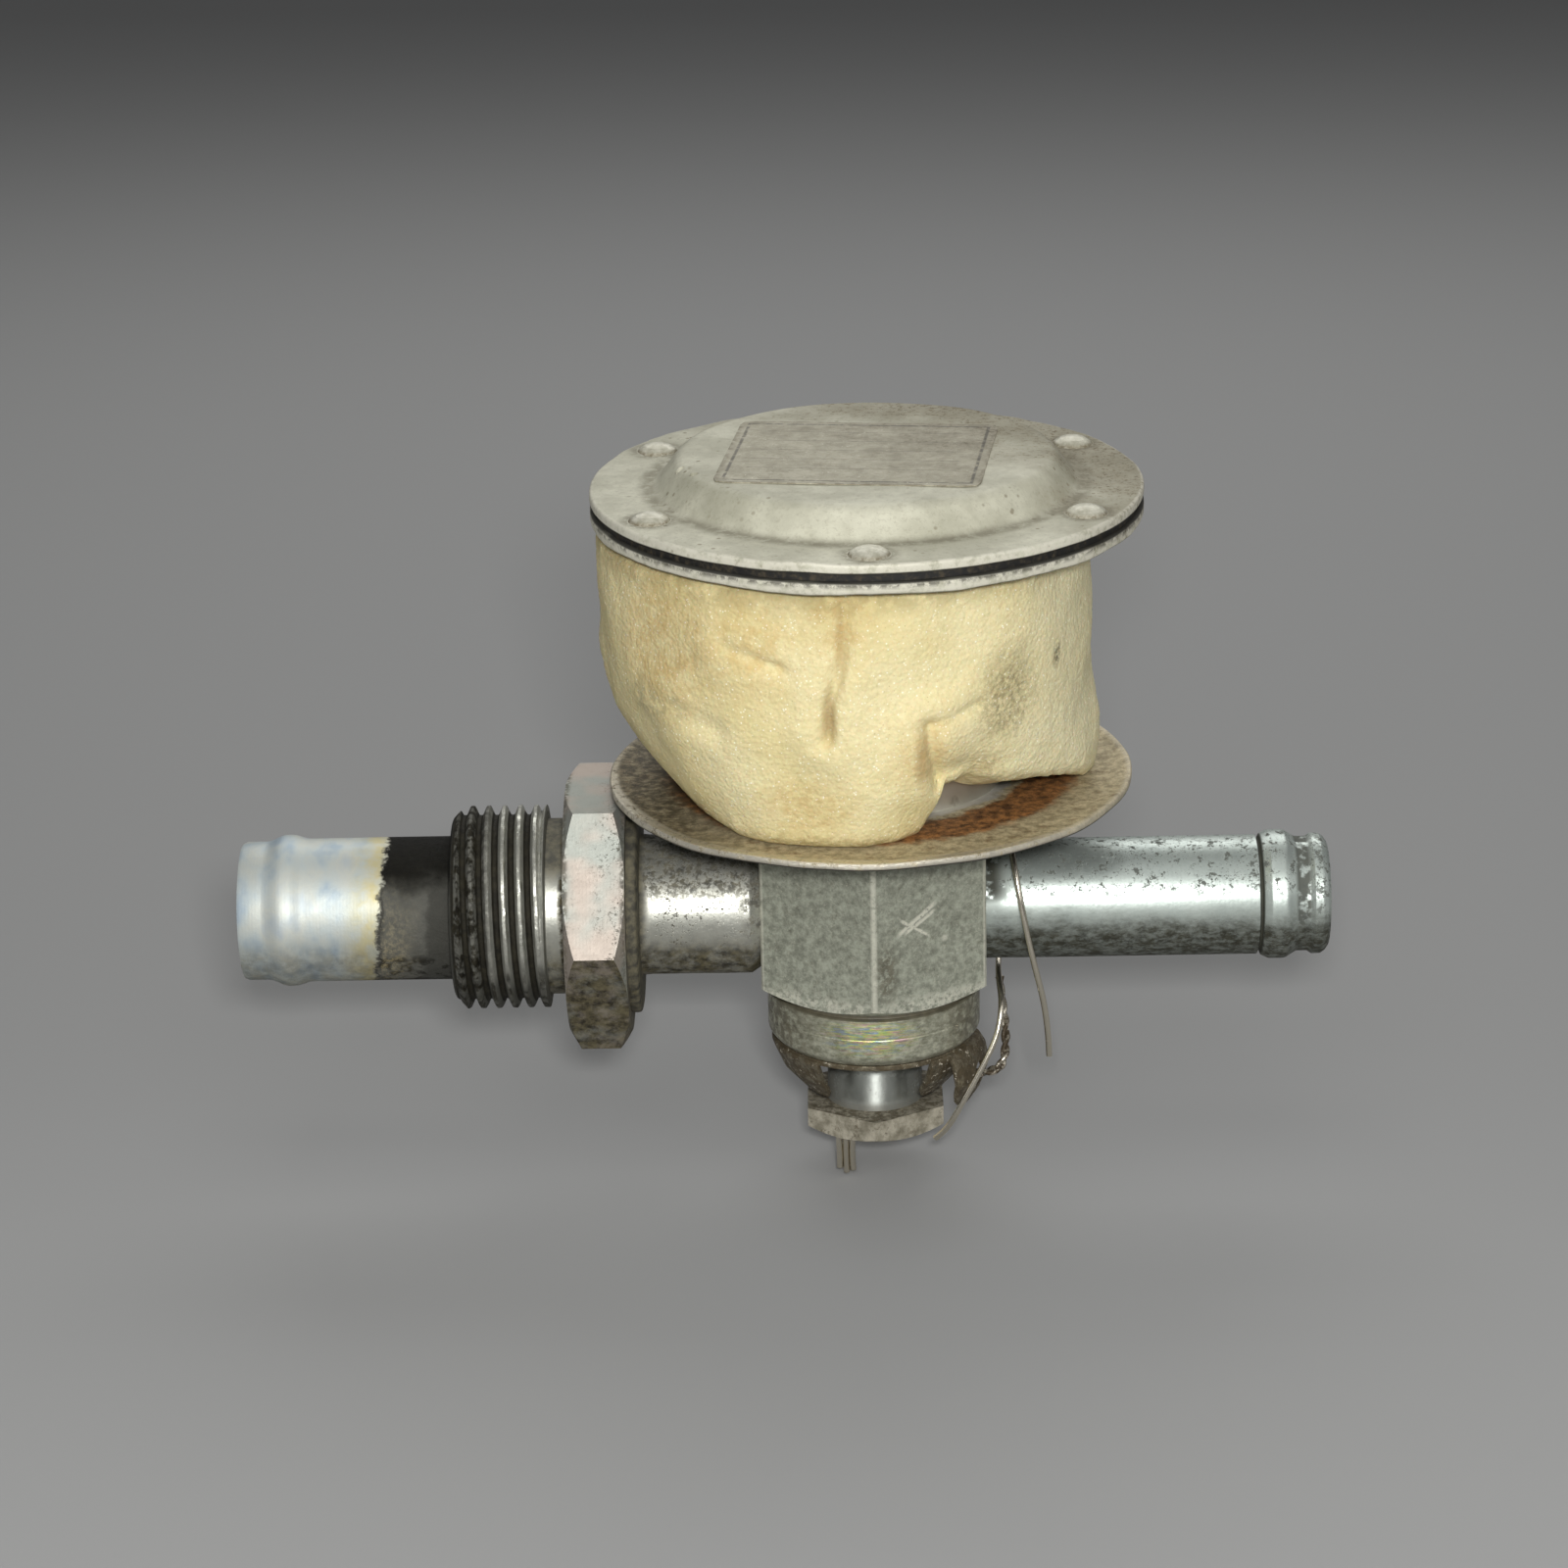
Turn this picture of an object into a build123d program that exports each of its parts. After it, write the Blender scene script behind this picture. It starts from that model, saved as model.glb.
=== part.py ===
from build123d import *
from math import cos, radians, sin, tan
import os

os.makedirs("parts", exist_ok=True)

# All sizes are in millimetres. X runs along the hose line towards the outlet, Z runs up the valve axis,
# and the origin is the centre of the big hex's panel face.

# Hose line and valve axis
VALVE_X = 40.3
SLIDE_GAP = 0.05
SEAT_GAP = 0.03

# Inlet fitting, a turned piece for 3/4 in hose with a 1-1/16 in bulkhead thread
INLET_TIP_X = -43.4
INLET_R = 9.525
INLET_TIP_R = 9.2
INLET_BEAD_R = 10.05
INLET_BEAD_X = -36.7
INLET_BEAD_HALF = 3.2
INLET_BEAD_LAND = 1.6
INLET_BORE_R = 7.6
THREAD_R = 13.49
THREAD_START_X = -15.2
THREAD_END_X = -2.7
THREAD_LEAD = 1.2
NECK_R = 11.7
BIG_HEX_AF = 33.34
BIG_HEX_W = 8.1
SHOULDER_R = 14.4
SHOULDER_W = 1.5
MID_TUBE_R = 9.35
SPIGOT_DEPTH = 4.5
INLET_SPIGOT_R = 8.6

# Outlet tube for 5/8 in hose
OUTLET_TIP_X = 100.6
OUTLET_R = 7.94
OUTLET_BORE_R = 6.3
OUTLET_SPIGOT_R = 7.2
OUTLET_GROOVE_X = 90.9
OUTLET_GROOVE_W = 0.6
OUTLET_BEAD_R = 8.6
OUTLET_BEAD_W = 4.8
OUTLET_NOSE_R = 7.6
OUTLET_RIDGE_R = 8.05

# Valve body, a hex bar with a turned collar
BODY_AF = 29.7
BODY_TOP_Z = 17.1
COLLAR_TOP_Z = -10.7
COLLAR_R = 14.2
COLLAR_END_Z = -18.2
COLLAR_EDGE = 0.9
CHAMBER_R = 9.2
CHAMBER_FLOOR_Z = -12.0
NECK_TOP_Z = 20.6
NECK_TOP_R = 12.0
SEAT_LEDGE_Z = 13.0
SEAT_BORE_R = 9.8
HEX_CHAMFER_ANGLE = 30

# Valve seat and poppet
SEAT_TOP_Z = 17.0
SEAT_FACE_Z = 12.0
SEAT_LIP_R = 8.4
PORT_R = 6.2
POPPET_R = 7.9
POPPET_BASE_Z = 9.8
POPPET_RIM_Z = 11.2
SEAL_R = 7.6
SEAL_BORE_R = 4.6
POPPET_HUB_R = 4.5
POPPET_NUT_AF = 7.0
POPPET_NUT_H = 2.4

# Valve stem
STEM_R = 2.5
STEM_BORE_R = 0.9
STEM_END_Z = 6.6
STEM_TOP_Z = 60.4
SENSE_HOLE_R = 0.5
SENSE_HOLE_Z = 54.0

# Adjusting screw, spring seat and spring
SCREW_R = 6.35
SCREW_TOP_Z = -9.0
SCREW_BORE_R = SCREW_R + SLIDE_GAP
HEAD_AF = 18.2
HEAD_TOP_Z = -27.8
HEAD_END_Z = -31.2
RING_GROOVE_Z = -15.0
RING_R = 5.5
RING_WIRE_R = 0.85
SPRING_SEAT_R = 8.9
SPRING_SEAT_H = 1.6
SPRING_PILOT_R = 5.8
SPRING_PILOT_H = 2.0
SPRING_R = 7.0
SPRING_WIRE_R = 0.7
SPRING_TURNS = 6

# Lock washer under the collar
WASHER_R = 14.0
WASHER_T = 0.8
SIDE_TABS = ((172, 65), (14, 80))
TAB_KNEE_R = 12.6
TAB_KNEE_Z = -22.0
TAB_FOOT_R = 9.9
TAB_END_Z = -25.0
BACK_TAB = (97, 42)
BACK_TAB_END_Z = -27.0
EAR_ANGLE = -22
EAR_SPREAD = 32
EAR_R = 15.4
EAR_END_Z = -27.0
EAR_HOLE_R = 1.7
EAR_HOLE_Z = -22.8
EAR_NECK_Z = -20.3
EAR_TURN_Z = -25.2

# Filter plate, cage and foam
PLATE_R = 34.4
PLATE_T = 1.2
PLATE_FLAT_R = 30.5
PLATE_RISE = 0.5
CAGE_R = 17.5
CAGE_WALL = 1.2
CAGE_BASE_T = 1.6
CAGE_WINDOWS = 6
CAGE_WINDOW_W = 11.0
CAGE_WINDOW_LOW_Z = 23.0
CAGE_WINDOW_TOP_Z = 45.0
FOAM_TOP_Z = 53.3
FOAM_LIFT = 8.2
FOAM_LIFT_SLOPE = 0.25
FOAM_LIFT_FROM_X = 8.5

# Diaphragm housing
FLANGE_R = 35.65
LOWER_FLANGE_Z = 54.0
LOWER_FLANGE_T = 1.7
PAN_RIM_R = 25.5
PAN_FLOOR_R = 20.5
PAN_FLOOR_Z = 51.3
PAN_T = 1.2
HUB_R = 6.0
HUB_END_Z = 46.0
GUIDE_R = 4.0
DIAPHRAGM_R = 35.0
DIAPHRAGM_Z = 55.7
DIAPHRAGM_T = 1.0
ROLL_R = 22.3
ROLL_HALF = 2.6
ROLL_RISE = 1.3
COVER_Z = 56.7
COVER_T = 1.4
DOME_TOP_Z = 62.1
DOME_SHEET = 1.2
DOME_TOP_R = 24.6
DOME_FOOT_R = 27.2
VENT_R = 0.6
VENTS = ((-23.7, -5.5), (-21.8, -9.0))
RIVETS = 6
RIVET_CIRCLE_R = 31.6
RIVET_FIRST_ANGLE = 30
RIVET_HEAD_R = 2.6
RIVET_HEAD_H = 1.0
RIVET_SHANK_R = 1.55
RIVET_TAIL_R = 2.1
RIVET_TAIL_H = 0.5
LOWER_PLATE_R = 18.5
UPPER_PLATE_R = 19.0
CLAMP_PLATE_T = 1.0
STEM_NUT_AF = 9.0
STEM_NUT_H = 2.4

# Name plate on the dome
NAME_PLATE_W = 33.9
NAME_PLATE_D = 28.4
NAME_PLATE_T = 0.2
NAME_PLATE_X = -1.0
NAME_PLATE_Y = -1.35
NAME_PLATE_TURN = -9.5

# Safety wire
WIRE_R = 0.4
TWIST_R = 0.72
TAIL_X = -4.1
TAIL_Y = -6.0
TAIL_LENGTHS = (5.0, 5.7, 5.4)
TAIL_HOLE_DEPTH = 2.2


def at_axis(shape):
    # Moves a shape drawn about the world Z axis onto the valve axis.
    return Pos(VALVE_X, 0, 0) * shape


def turned(points, arc=360.0):
    # Revolves a closed outline of (radius, height) points about the Z axis.
    outline = make_face(Polyline([(r, 0, z) for r, z in points], close=True).edges())
    return revolve(outline, Axis.Z, arc)


def turned_x(points):
    # Revolves a closed outline of (x, radius) points about the hose line.
    outline = make_face(Polyline([(x, 0, r) for x, r in points], close=True).edges())
    return revolve(outline, Axis.X, 360.0)


def rod(radius, low_z, high_z, x=0.0, y=0.0):
    # Upright cylinder between two heights.
    height = high_z - low_z
    return Pos(x, y, low_z + height / 2) * Cylinder(radius, height)


def hex_prism(across_flats, low_z, high_z, turn=30.0):
    # Upright hex bar; a turn of 30 puts its corners at front and back.
    corner_r = across_flats / 2 / cos(radians(30))
    outline = Rot(0, 0, turn) * RegularPolygon(corner_r, 6)
    return Pos(0, 0, low_z) * extrude(outline, high_z - low_z)


def chamfered_hex(across_flats, low_z, high_z, low_r=None, high_r=None, turn=30.0):
    # Hex bar whose ends are turned to a 30 degree cone from the given end radius.
    corner_r = across_flats / 2 / cos(radians(30)) + 0.5
    slope = tan(radians(HEX_CHAMFER_ANGLE))
    low_rise = (corner_r - low_r) * slope if low_r else 0.0
    high_rise = (corner_r - high_r) * slope if high_r else 0.0
    cone = [(0, low_z), (low_r or corner_r, low_z), (corner_r, low_z + low_rise)]
    cone += [(corner_r, high_z - high_rise), (high_r or corner_r, high_z), (0, high_z)]
    points = [cone[0]] + [b for a, b in zip(cone, cone[1:]) if b != a]
    return hex_prism(across_flats, low_z, high_z, turn) & turned(points)


def sector(points, middle, spread):
    # Part of a turned shape, spread degrees wide about the middle angle.
    return Rot(0, 0, middle - spread / 2) * turned(points, spread)


def make_inlet_fitting():
    body_face_x = VALVE_X - BODY_AF / 2
    hex_end_x = BIG_HEX_W
    half_land = INLET_BEAD_LAND / 2
    bead_peak = [(INLET_BEAD_X - INLET_BEAD_HALF, INLET_TIP_R), (INLET_BEAD_X - half_land, INLET_BEAD_R)]
    bead_peak += [(INLET_BEAD_X + half_land, INLET_BEAD_R), (INLET_BEAD_X + INLET_BEAD_HALF, INLET_R)]
    outside = [(INLET_TIP_X, INLET_BORE_R + 0.5), (INLET_TIP_X + 0.4, INLET_TIP_R)] + bead_peak
    outside += [(THREAD_START_X, INLET_R), (THREAD_START_X, THREAD_R - THREAD_LEAD)]
    outside += [(THREAD_START_X + THREAD_LEAD, THREAD_R), (THREAD_END_X, THREAD_R), (THREAD_END_X, NECK_R)]
    outside += [(0, NECK_R), (0, SHOULDER_R), (hex_end_x + SHOULDER_W, SHOULDER_R)]
    outside += [(hex_end_x + SHOULDER_W, MID_TUBE_R), (body_face_x, MID_TUBE_R)]
    outside += [(body_face_x, INLET_SPIGOT_R - SEAT_GAP)]
    outside += [(body_face_x + SPIGOT_DEPTH, INLET_SPIGOT_R - SEAT_GAP)]
    inside = [(body_face_x + SPIGOT_DEPTH, INLET_BORE_R), (INLET_TIP_X, INLET_BORE_R)]
    tube = turned_x(outside + inside)
    hex_bar = chamfered_hex(BIG_HEX_AF, 0, BIG_HEX_W, BIG_HEX_AF / 2, BIG_HEX_AF / 2, 30.0)
    hex_bar = Rot(0, 90, 0) * hex_bar
    hex_bore = Rot(0, 90, 0) * rod(INLET_BORE_R, -1, BIG_HEX_W + 1)
    return tube + (hex_bar - hex_bore)


def make_outlet_tube():
    body_face_x = VALVE_X + BODY_AF / 2
    groove_end_x = OUTLET_GROOVE_X + OUTLET_GROOVE_W
    bead_end_x = groove_end_x + OUTLET_BEAD_W
    spigot_r = OUTLET_SPIGOT_R - SEAT_GAP
    outside = [(body_face_x - SPIGOT_DEPTH, spigot_r), (body_face_x, spigot_r)]
    outside += [(body_face_x, OUTLET_R), (OUTLET_GROOVE_X, OUTLET_R), (OUTLET_GROOVE_X, OUTLET_R - 0.4)]
    outside += [(groove_end_x, OUTLET_R - 0.4), (groove_end_x, OUTLET_R)]
    outside += [(groove_end_x + 1.6, OUTLET_BEAD_R), (groove_end_x + 3.2, OUTLET_BEAD_R)]
    outside += [(bead_end_x, OUTLET_NOSE_R), (bead_end_x + 1.6, OUTLET_NOSE_R)]
    outside += [(bead_end_x + 2.2, OUTLET_RIDGE_R), (OUTLET_TIP_X - 1.2, OUTLET_RIDGE_R)]
    outside += [(OUTLET_TIP_X - 0.3, OUTLET_RIDGE_R - 0.5), (OUTLET_TIP_X, OUTLET_BORE_R + 0.4)]
    inside = [(OUTLET_TIP_X, OUTLET_BORE_R), (body_face_x - SPIGOT_DEPTH, OUTLET_BORE_R)]
    return turned_x(outside + inside)


def make_valve_body():
    block = chamfered_hex(BODY_AF, COLLAR_TOP_Z, BODY_TOP_Z, COLLAR_R, BODY_AF / 2)
    collar = turned([
        (0, COLLAR_TOP_Z), (COLLAR_R, COLLAR_TOP_Z), (COLLAR_R, COLLAR_END_Z + COLLAR_EDGE),
        (COLLAR_R - 0.25, COLLAR_END_Z + 0.3), (COLLAR_R - COLLAR_EDGE, COLLAR_END_Z), (0, COLLAR_END_Z)])
    block += collar
    block += rod(NECK_TOP_R, BODY_TOP_Z, NECK_TOP_Z)
    block -= rod(CHAMBER_R, CHAMBER_FLOOR_Z, SEAT_LEDGE_Z)
    block -= rod(SEAT_BORE_R, SEAT_LEDGE_Z, NECK_TOP_Z + 1)
    block -= rod(SCREW_BORE_R, COLLAR_END_Z - 1, CHAMBER_FLOOR_Z + 1)
    block = at_axis(block)
    inlet_face = VALVE_X - BODY_AF / 2
    outlet_face = VALVE_X + BODY_AF / 2
    block -= along_x(INLET_BORE_R, inlet_face, VALVE_X)
    block -= along_x(INLET_SPIGOT_R, inlet_face - 1, inlet_face + SPIGOT_DEPTH)
    block -= along_x(OUTLET_BORE_R, VALVE_X, outlet_face)
    block -= along_x(OUTLET_SPIGOT_R, outlet_face - SPIGOT_DEPTH, outlet_face + 1)
    return block


def along_x(radius, low_x, high_x):
    # Cylinder on the hose line.
    return Pos((low_x + high_x) / 2, 0, 0) * (Rot(0, 90, 0) * Cylinder(radius, high_x - low_x))


def make_valve_seat():
    return at_axis(turned([
        (PORT_R, SEAT_TOP_Z), (PORT_R, SEAT_FACE_Z), (SEAT_LIP_R - 1.0, SEAT_FACE_Z),
        (SEAT_LIP_R, SEAT_LEDGE_Z), (SEAT_BORE_R - SEAT_GAP, SEAT_LEDGE_Z),
        (SEAT_BORE_R - SEAT_GAP, SEAT_TOP_Z)]))


def make_poppet():
    return at_axis(turned([
        (STEM_R + SEAT_GAP, POPPET_BASE_Z), (POPPET_R - 0.4, POPPET_BASE_Z), (POPPET_R, POPPET_BASE_Z + 0.4),
        (POPPET_R, SEAT_FACE_Z - 0.3), (SEAL_R, SEAT_FACE_Z - 0.3), (SEAL_R, POPPET_RIM_Z),
        (POPPET_HUB_R, POPPET_RIM_Z), (POPPET_HUB_R, SEAT_FACE_Z - 0.3),
        (STEM_R + SEAT_GAP, SEAT_FACE_Z - 0.3)]))


def make_poppet_seal():
    return at_axis(turned([
        (SEAL_BORE_R, POPPET_RIM_Z), (SEAL_R - SEAT_GAP, POPPET_RIM_Z),
        (SEAL_R - SEAT_GAP, SEAT_FACE_Z - SEAT_GAP), (SEAL_BORE_R, SEAT_FACE_Z - SEAT_GAP)]))


def make_poppet_nut():
    low_z = POPPET_BASE_Z - POPPET_NUT_H
    nut = chamfered_hex(POPPET_NUT_AF, low_z, POPPET_BASE_Z, POPPET_NUT_AF / 2)
    return at_axis(nut - rod(STEM_R + SEAT_GAP, low_z - 1, POPPET_BASE_Z + 1))


def make_valve_stem():
    stem = turned([
        (0, STEM_END_Z), (STEM_R - 0.4, STEM_END_Z), (STEM_R, STEM_END_Z + 0.4),
        (STEM_R, STEM_TOP_Z - 0.4), (STEM_R - 0.4, STEM_TOP_Z), (0, STEM_TOP_Z)])
    stem += rod(STEM_R + 1.2, SEAT_FACE_Z - 0.3, SEAT_FACE_Z + 1.2)
    stem -= rod(STEM_BORE_R, STEM_END_Z - 1, SENSE_HOLE_Z + 1)
    stem -= Pos(0, 0, SENSE_HOLE_Z) * (Rot(0, 90, 0) * Cylinder(SENSE_HOLE_R, 3 * STEM_R))
    return at_axis(stem)


def make_stem_guide():
    guide = turned([
        (STEM_R + SLIDE_GAP, HUB_END_Z - 1.2), (GUIDE_R + 1.2, HUB_END_Z - 1.2), (GUIDE_R + 1.2, HUB_END_Z),
        (GUIDE_R - SEAT_GAP, HUB_END_Z), (GUIDE_R - SEAT_GAP, PAN_FLOOR_Z - 0.3),
        (STEM_R + SLIDE_GAP, PAN_FLOOR_Z - 0.3)])
    return at_axis(guide)


def make_lower_housing():
    flange_top = LOWER_FLANGE_Z + LOWER_FLANGE_T
    shell = turned([
        (GUIDE_R, HUB_END_Z), (HUB_R, HUB_END_Z), (HUB_R, PAN_FLOOR_Z - PAN_T),
        (PAN_FLOOR_R + 0.7, PAN_FLOOR_Z - PAN_T), (PAN_RIM_R + 1.4, LOWER_FLANGE_Z),
        (FLANGE_R - 0.4, LOWER_FLANGE_Z), (FLANGE_R, LOWER_FLANGE_Z + 0.4), (FLANGE_R, flange_top),
        (PAN_RIM_R, flange_top), (PAN_FLOOR_R, PAN_FLOOR_Z), (GUIDE_R, PAN_FLOOR_Z)])
    return at_axis(shell - rivet_holes(LOWER_FLANGE_Z - 1, flange_top + 1))


def rivet_spots():
    for index in range(RIVETS):
        angle = radians(RIVET_FIRST_ANGLE + index * 360 / RIVETS)
        yield RIVET_CIRCLE_R * cos(angle), RIVET_CIRCLE_R * sin(angle)


def rivet_holes(low_z, high_z):
    return Part() + [rod(RIVET_SHANK_R + SEAT_GAP, low_z, high_z, x, y) for x, y in rivet_spots()]


def make_diaphragm():
    low_z = DIAPHRAGM_Z
    high_z = DIAPHRAGM_Z + DIAPHRAGM_T
    inner_foot = ROLL_R - ROLL_HALF
    outer_foot = ROLL_R + ROLL_HALF
    upper = Line((outer_foot, 0, high_z), (DIAPHRAGM_R, 0, high_z))
    roll_crest = (ROLL_R, 0, high_z + ROLL_RISE)
    roll_hollow = (ROLL_R, 0, low_z + ROLL_RISE)
    roll_top = ThreePointArc((inner_foot, 0, high_z), roll_crest, (outer_foot, 0, high_z))
    roll_low = ThreePointArc((inner_foot + 0.3, 0, low_z), roll_hollow, (outer_foot - 0.3, 0, low_z))
    inner = Line((STEM_R + SEAT_GAP, 0, high_z), (inner_foot, 0, high_z))
    inner_end = Line((STEM_R + SEAT_GAP, 0, low_z), (STEM_R + SEAT_GAP, 0, high_z))
    under_inner = Line((STEM_R + SEAT_GAP, 0, low_z), (inner_foot + 0.3, 0, low_z))
    under_outer = Line((outer_foot - 0.3, 0, low_z), (DIAPHRAGM_R, 0, low_z))
    outer_end = Line((DIAPHRAGM_R, 0, low_z), (DIAPHRAGM_R, 0, high_z))
    outline = make_face([upper, roll_top, inner, inner_end, under_inner, roll_low, under_outer, outer_end])
    disc = revolve(outline, Axis.Z, 360.0)
    return at_axis(disc - rivet_holes(low_z - 1, high_z + 1))


def make_upper_cover():
    inner_top_z = DOME_TOP_Z - DOME_SHEET
    outline = make_face(Polyline([(r, 0, z) for r, z in [
        (0, DOME_TOP_Z), (DOME_TOP_R, DOME_TOP_Z), (DOME_FOOT_R, COVER_Z + COVER_T),
        (FLANGE_R, COVER_Z + COVER_T), (FLANGE_R, COVER_Z), (DOME_FOOT_R - 1.0, COVER_Z),
        (DOME_TOP_R - 0.7, inner_top_z), (0, inner_top_z)]], close=True).edges())
    shell = revolve(outline, Axis.Z, 360.0)
    for ring_r, rounding in ((DOME_TOP_R, 2.4), (DOME_FOOT_R, 1.0), (FLANGE_R, 0.4)):
        rings = [e for e in shell.edges().filter_by(GeomType.CIRCLE) if abs(e.radius - ring_r) < 0.01]
        shell = fillet(rings, rounding)
    shell -= rivet_holes(COVER_Z - 1, COVER_Z + COVER_T + 1)
    for x, y in VENTS:
        shell -= rod(VENT_R, inner_top_z - 4, DOME_TOP_Z + 1, x, y)
    return at_axis(shell)


def make_cover_rivets():
    seat_z = COVER_Z + COVER_T
    head = turned([
        (0, seat_z + RIVET_HEAD_H), (1.2, seat_z + RIVET_HEAD_H - 0.12), (2.1, seat_z + RIVET_HEAD_H - 0.5),
        (RIVET_HEAD_R, seat_z), (RIVET_SHANK_R, seat_z), (RIVET_SHANK_R, LOWER_FLANGE_Z),
        (RIVET_TAIL_R, LOWER_FLANGE_Z), (RIVET_TAIL_R, LOWER_FLANGE_Z - RIVET_TAIL_H),
        (0, LOWER_FLANGE_Z - RIVET_TAIL_H)])
    return Compound([at_axis(Pos(x, y, 0) * head) for x, y in rivet_spots()])


def make_name_plate():
    plate = Box(NAME_PLATE_W, NAME_PLATE_D, NAME_PLATE_T)
    plate = Rot(0, 0, NAME_PLATE_TURN) * plate
    return at_axis(Pos(NAME_PLATE_X, NAME_PLATE_Y, DOME_TOP_Z + NAME_PLATE_T / 2) * plate)


def make_clamp_plate(radius, low_z):
    high_z = low_z + CLAMP_PLATE_T
    return at_axis(turned([
        (STEM_R + SEAT_GAP, low_z), (radius - 0.3, low_z), (radius, low_z + 0.3),
        (radius, high_z - 0.3), (radius - 0.3, high_z), (STEM_R + SEAT_GAP, high_z)]))


def make_stem_nut():
    low_z = DIAPHRAGM_Z + DIAPHRAGM_T + CLAMP_PLATE_T
    nut = chamfered_hex(STEM_NUT_AF, low_z, low_z + STEM_NUT_H, None, STEM_NUT_AF / 2)
    return at_axis(nut - rod(STEM_R + SEAT_GAP, low_z - 1, low_z + STEM_NUT_H + 1))


def make_filter_plate():
    top_z = BODY_TOP_Z + PLATE_T
    rim_top = top_z + PLATE_RISE
    plate = turned([
        (NECK_TOP_R + 0.1, BODY_TOP_Z), (PLATE_FLAT_R + 0.4, BODY_TOP_Z),
        (PLATE_R - 0.3, BODY_TOP_Z + PLATE_RISE),
        (PLATE_R, BODY_TOP_Z + PLATE_RISE + 0.3), (PLATE_R, rim_top - 0.2), (PLATE_R - 0.3, rim_top),
        (PLATE_FLAT_R, top_z), (NECK_TOP_R + 0.1, top_z)])
    return at_axis(plate)


def make_filter_cage():
    base_z = BODY_TOP_Z + PLATE_T
    top_z = PAN_FLOOR_Z - PAN_T
    cage = turned([
        (NECK_TOP_R + SEAT_GAP, base_z), (CAGE_R, base_z), (CAGE_R, top_z), (HUB_R + 4, top_z),
        (HUB_R + 4, top_z - CAGE_WALL), (CAGE_R - CAGE_WALL, top_z - CAGE_WALL),
        (CAGE_R - CAGE_WALL, base_z + CAGE_BASE_T), (NECK_TOP_R + SEAT_GAP, base_z + CAGE_BASE_T)])
    middle_z = (CAGE_WINDOW_LOW_Z + CAGE_WINDOW_TOP_Z) / 2
    window = Box(2 * CAGE_R, CAGE_WINDOW_W, CAGE_WINDOW_TOP_Z - CAGE_WINDOW_LOW_Z)
    window = Pos(CAGE_R, 0, middle_z) * fillet(window.edges().filter_by(Axis.X), 2.0)
    for index in range(CAGE_WINDOWS):
        cage -= Rot(0, 0, 360 / CAGE_WINDOWS * (index + 0.5)) * window
    return at_axis(cage)


def make_foam_filter():
    low_z = BODY_TOP_Z + PLATE_T + 0.05
    outer = ((low_z, 2.0, 27.7), (24.0, -0.2, 29.8), (31.0, -2.1, 31.2), (41.0, -3.3, 31.5),
             (FOAM_TOP_Z, -3.3, 31.6))
    inner = ((low_z - 0.5, 1.8, 20.0), (24.0, 0.0, 22.4), (31.0, -1.5, 24.0), (FOAM_TOP_Z - 3.4, -1.5, 24.5))
    sleeve = loft([Pos(x, 0, z) * Circle(radius) for z, x, radius in outer])
    cavity = loft([Pos(x, 0, z) * Circle(radius) for z, x, radius in inner], ruled=True)
    mouth = turned([
        (0, FOAM_TOP_Z - 3.9), (23.0, FOAM_TOP_Z - 3.9), (27.6, FOAM_TOP_Z + 0.3), (0, FOAM_TOP_Z + 0.3)])
    # The front right of the foot hangs clear of the plate, as a wedge that closes towards the back.
    front_y = -32.0
    back_y = front_y + (FOAM_LIFT + 0.7) / FOAM_LIFT_SLOPE
    wedge = make_face(Polyline([
        (0, front_y, low_z - 0.1), (0, back_y, low_z - 0.1),
        (0, front_y, low_z + FOAM_LIFT + 0.6)], close=True).edges())
    wedge = Pos(FOAM_LIFT_FROM_X, 0, 0) * extrude(wedge, 32.0, dir=(1, 0, 0))
    return at_axis(sleeve - cavity - mouth - wedge)


def make_lock_tab_washer():
    low_z = COLLAR_END_Z - WASHER_T
    washer = turned([
        (SCREW_R + 0.6, low_z), (WASHER_R - 0.6, low_z), (WASHER_R - 0.6, COLLAR_END_Z),
        (SCREW_R + 0.6, COLLAR_END_Z)])
    root = [(WASHER_R - 2.0, low_z), (WASHER_R - 2.0, COLLAR_END_Z), (WASHER_R - 0.6, COLLAR_END_Z)]
    side_tab = root + [
        (WASHER_R - 0.4, low_z - 0.2), (TAB_KNEE_R, TAB_KNEE_Z), (TAB_FOOT_R, TAB_END_Z),
        (TAB_FOOT_R - WASHER_T, TAB_END_Z), (TAB_KNEE_R - WASHER_T, TAB_KNEE_Z)]
    for middle, spread in SIDE_TABS:
        washer += sector(side_tab, middle, spread)
    back_tab = root + [
        (WASHER_R, COLLAR_END_Z - 0.6), (WASHER_R - 2.1, BACK_TAB_END_Z), (WASHER_R - 2.9, BACK_TAB_END_Z)]
    washer += sector(back_tab, *BACK_TAB)
    # The ear flares out from the rim and turns back in below its wire hole.
    ear = root + [
        (EAR_R - 0.5, EAR_NECK_Z), (EAR_R, EAR_HOLE_Z), (EAR_R - 0.8, EAR_TURN_Z), (EAR_R - 2.0, EAR_END_Z),
        (EAR_R - 2.0 - WASHER_T, EAR_END_Z), (EAR_R - 0.8 - WASHER_T, EAR_TURN_Z),
        (EAR_R - WASHER_T, EAR_HOLE_Z), (EAR_R - 0.5 - WASHER_T, EAR_NECK_Z)]
    washer += sector(ear, EAR_ANGLE, EAR_SPREAD)
    ear_hole = Rot(0, 90, 0) * Cylinder(EAR_HOLE_R, 2)
    washer -= Rot(0, 0, EAR_ANGLE) * (Pos(EAR_R, 0, EAR_HOLE_Z) * ear_hole)
    return at_axis(washer)


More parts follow.
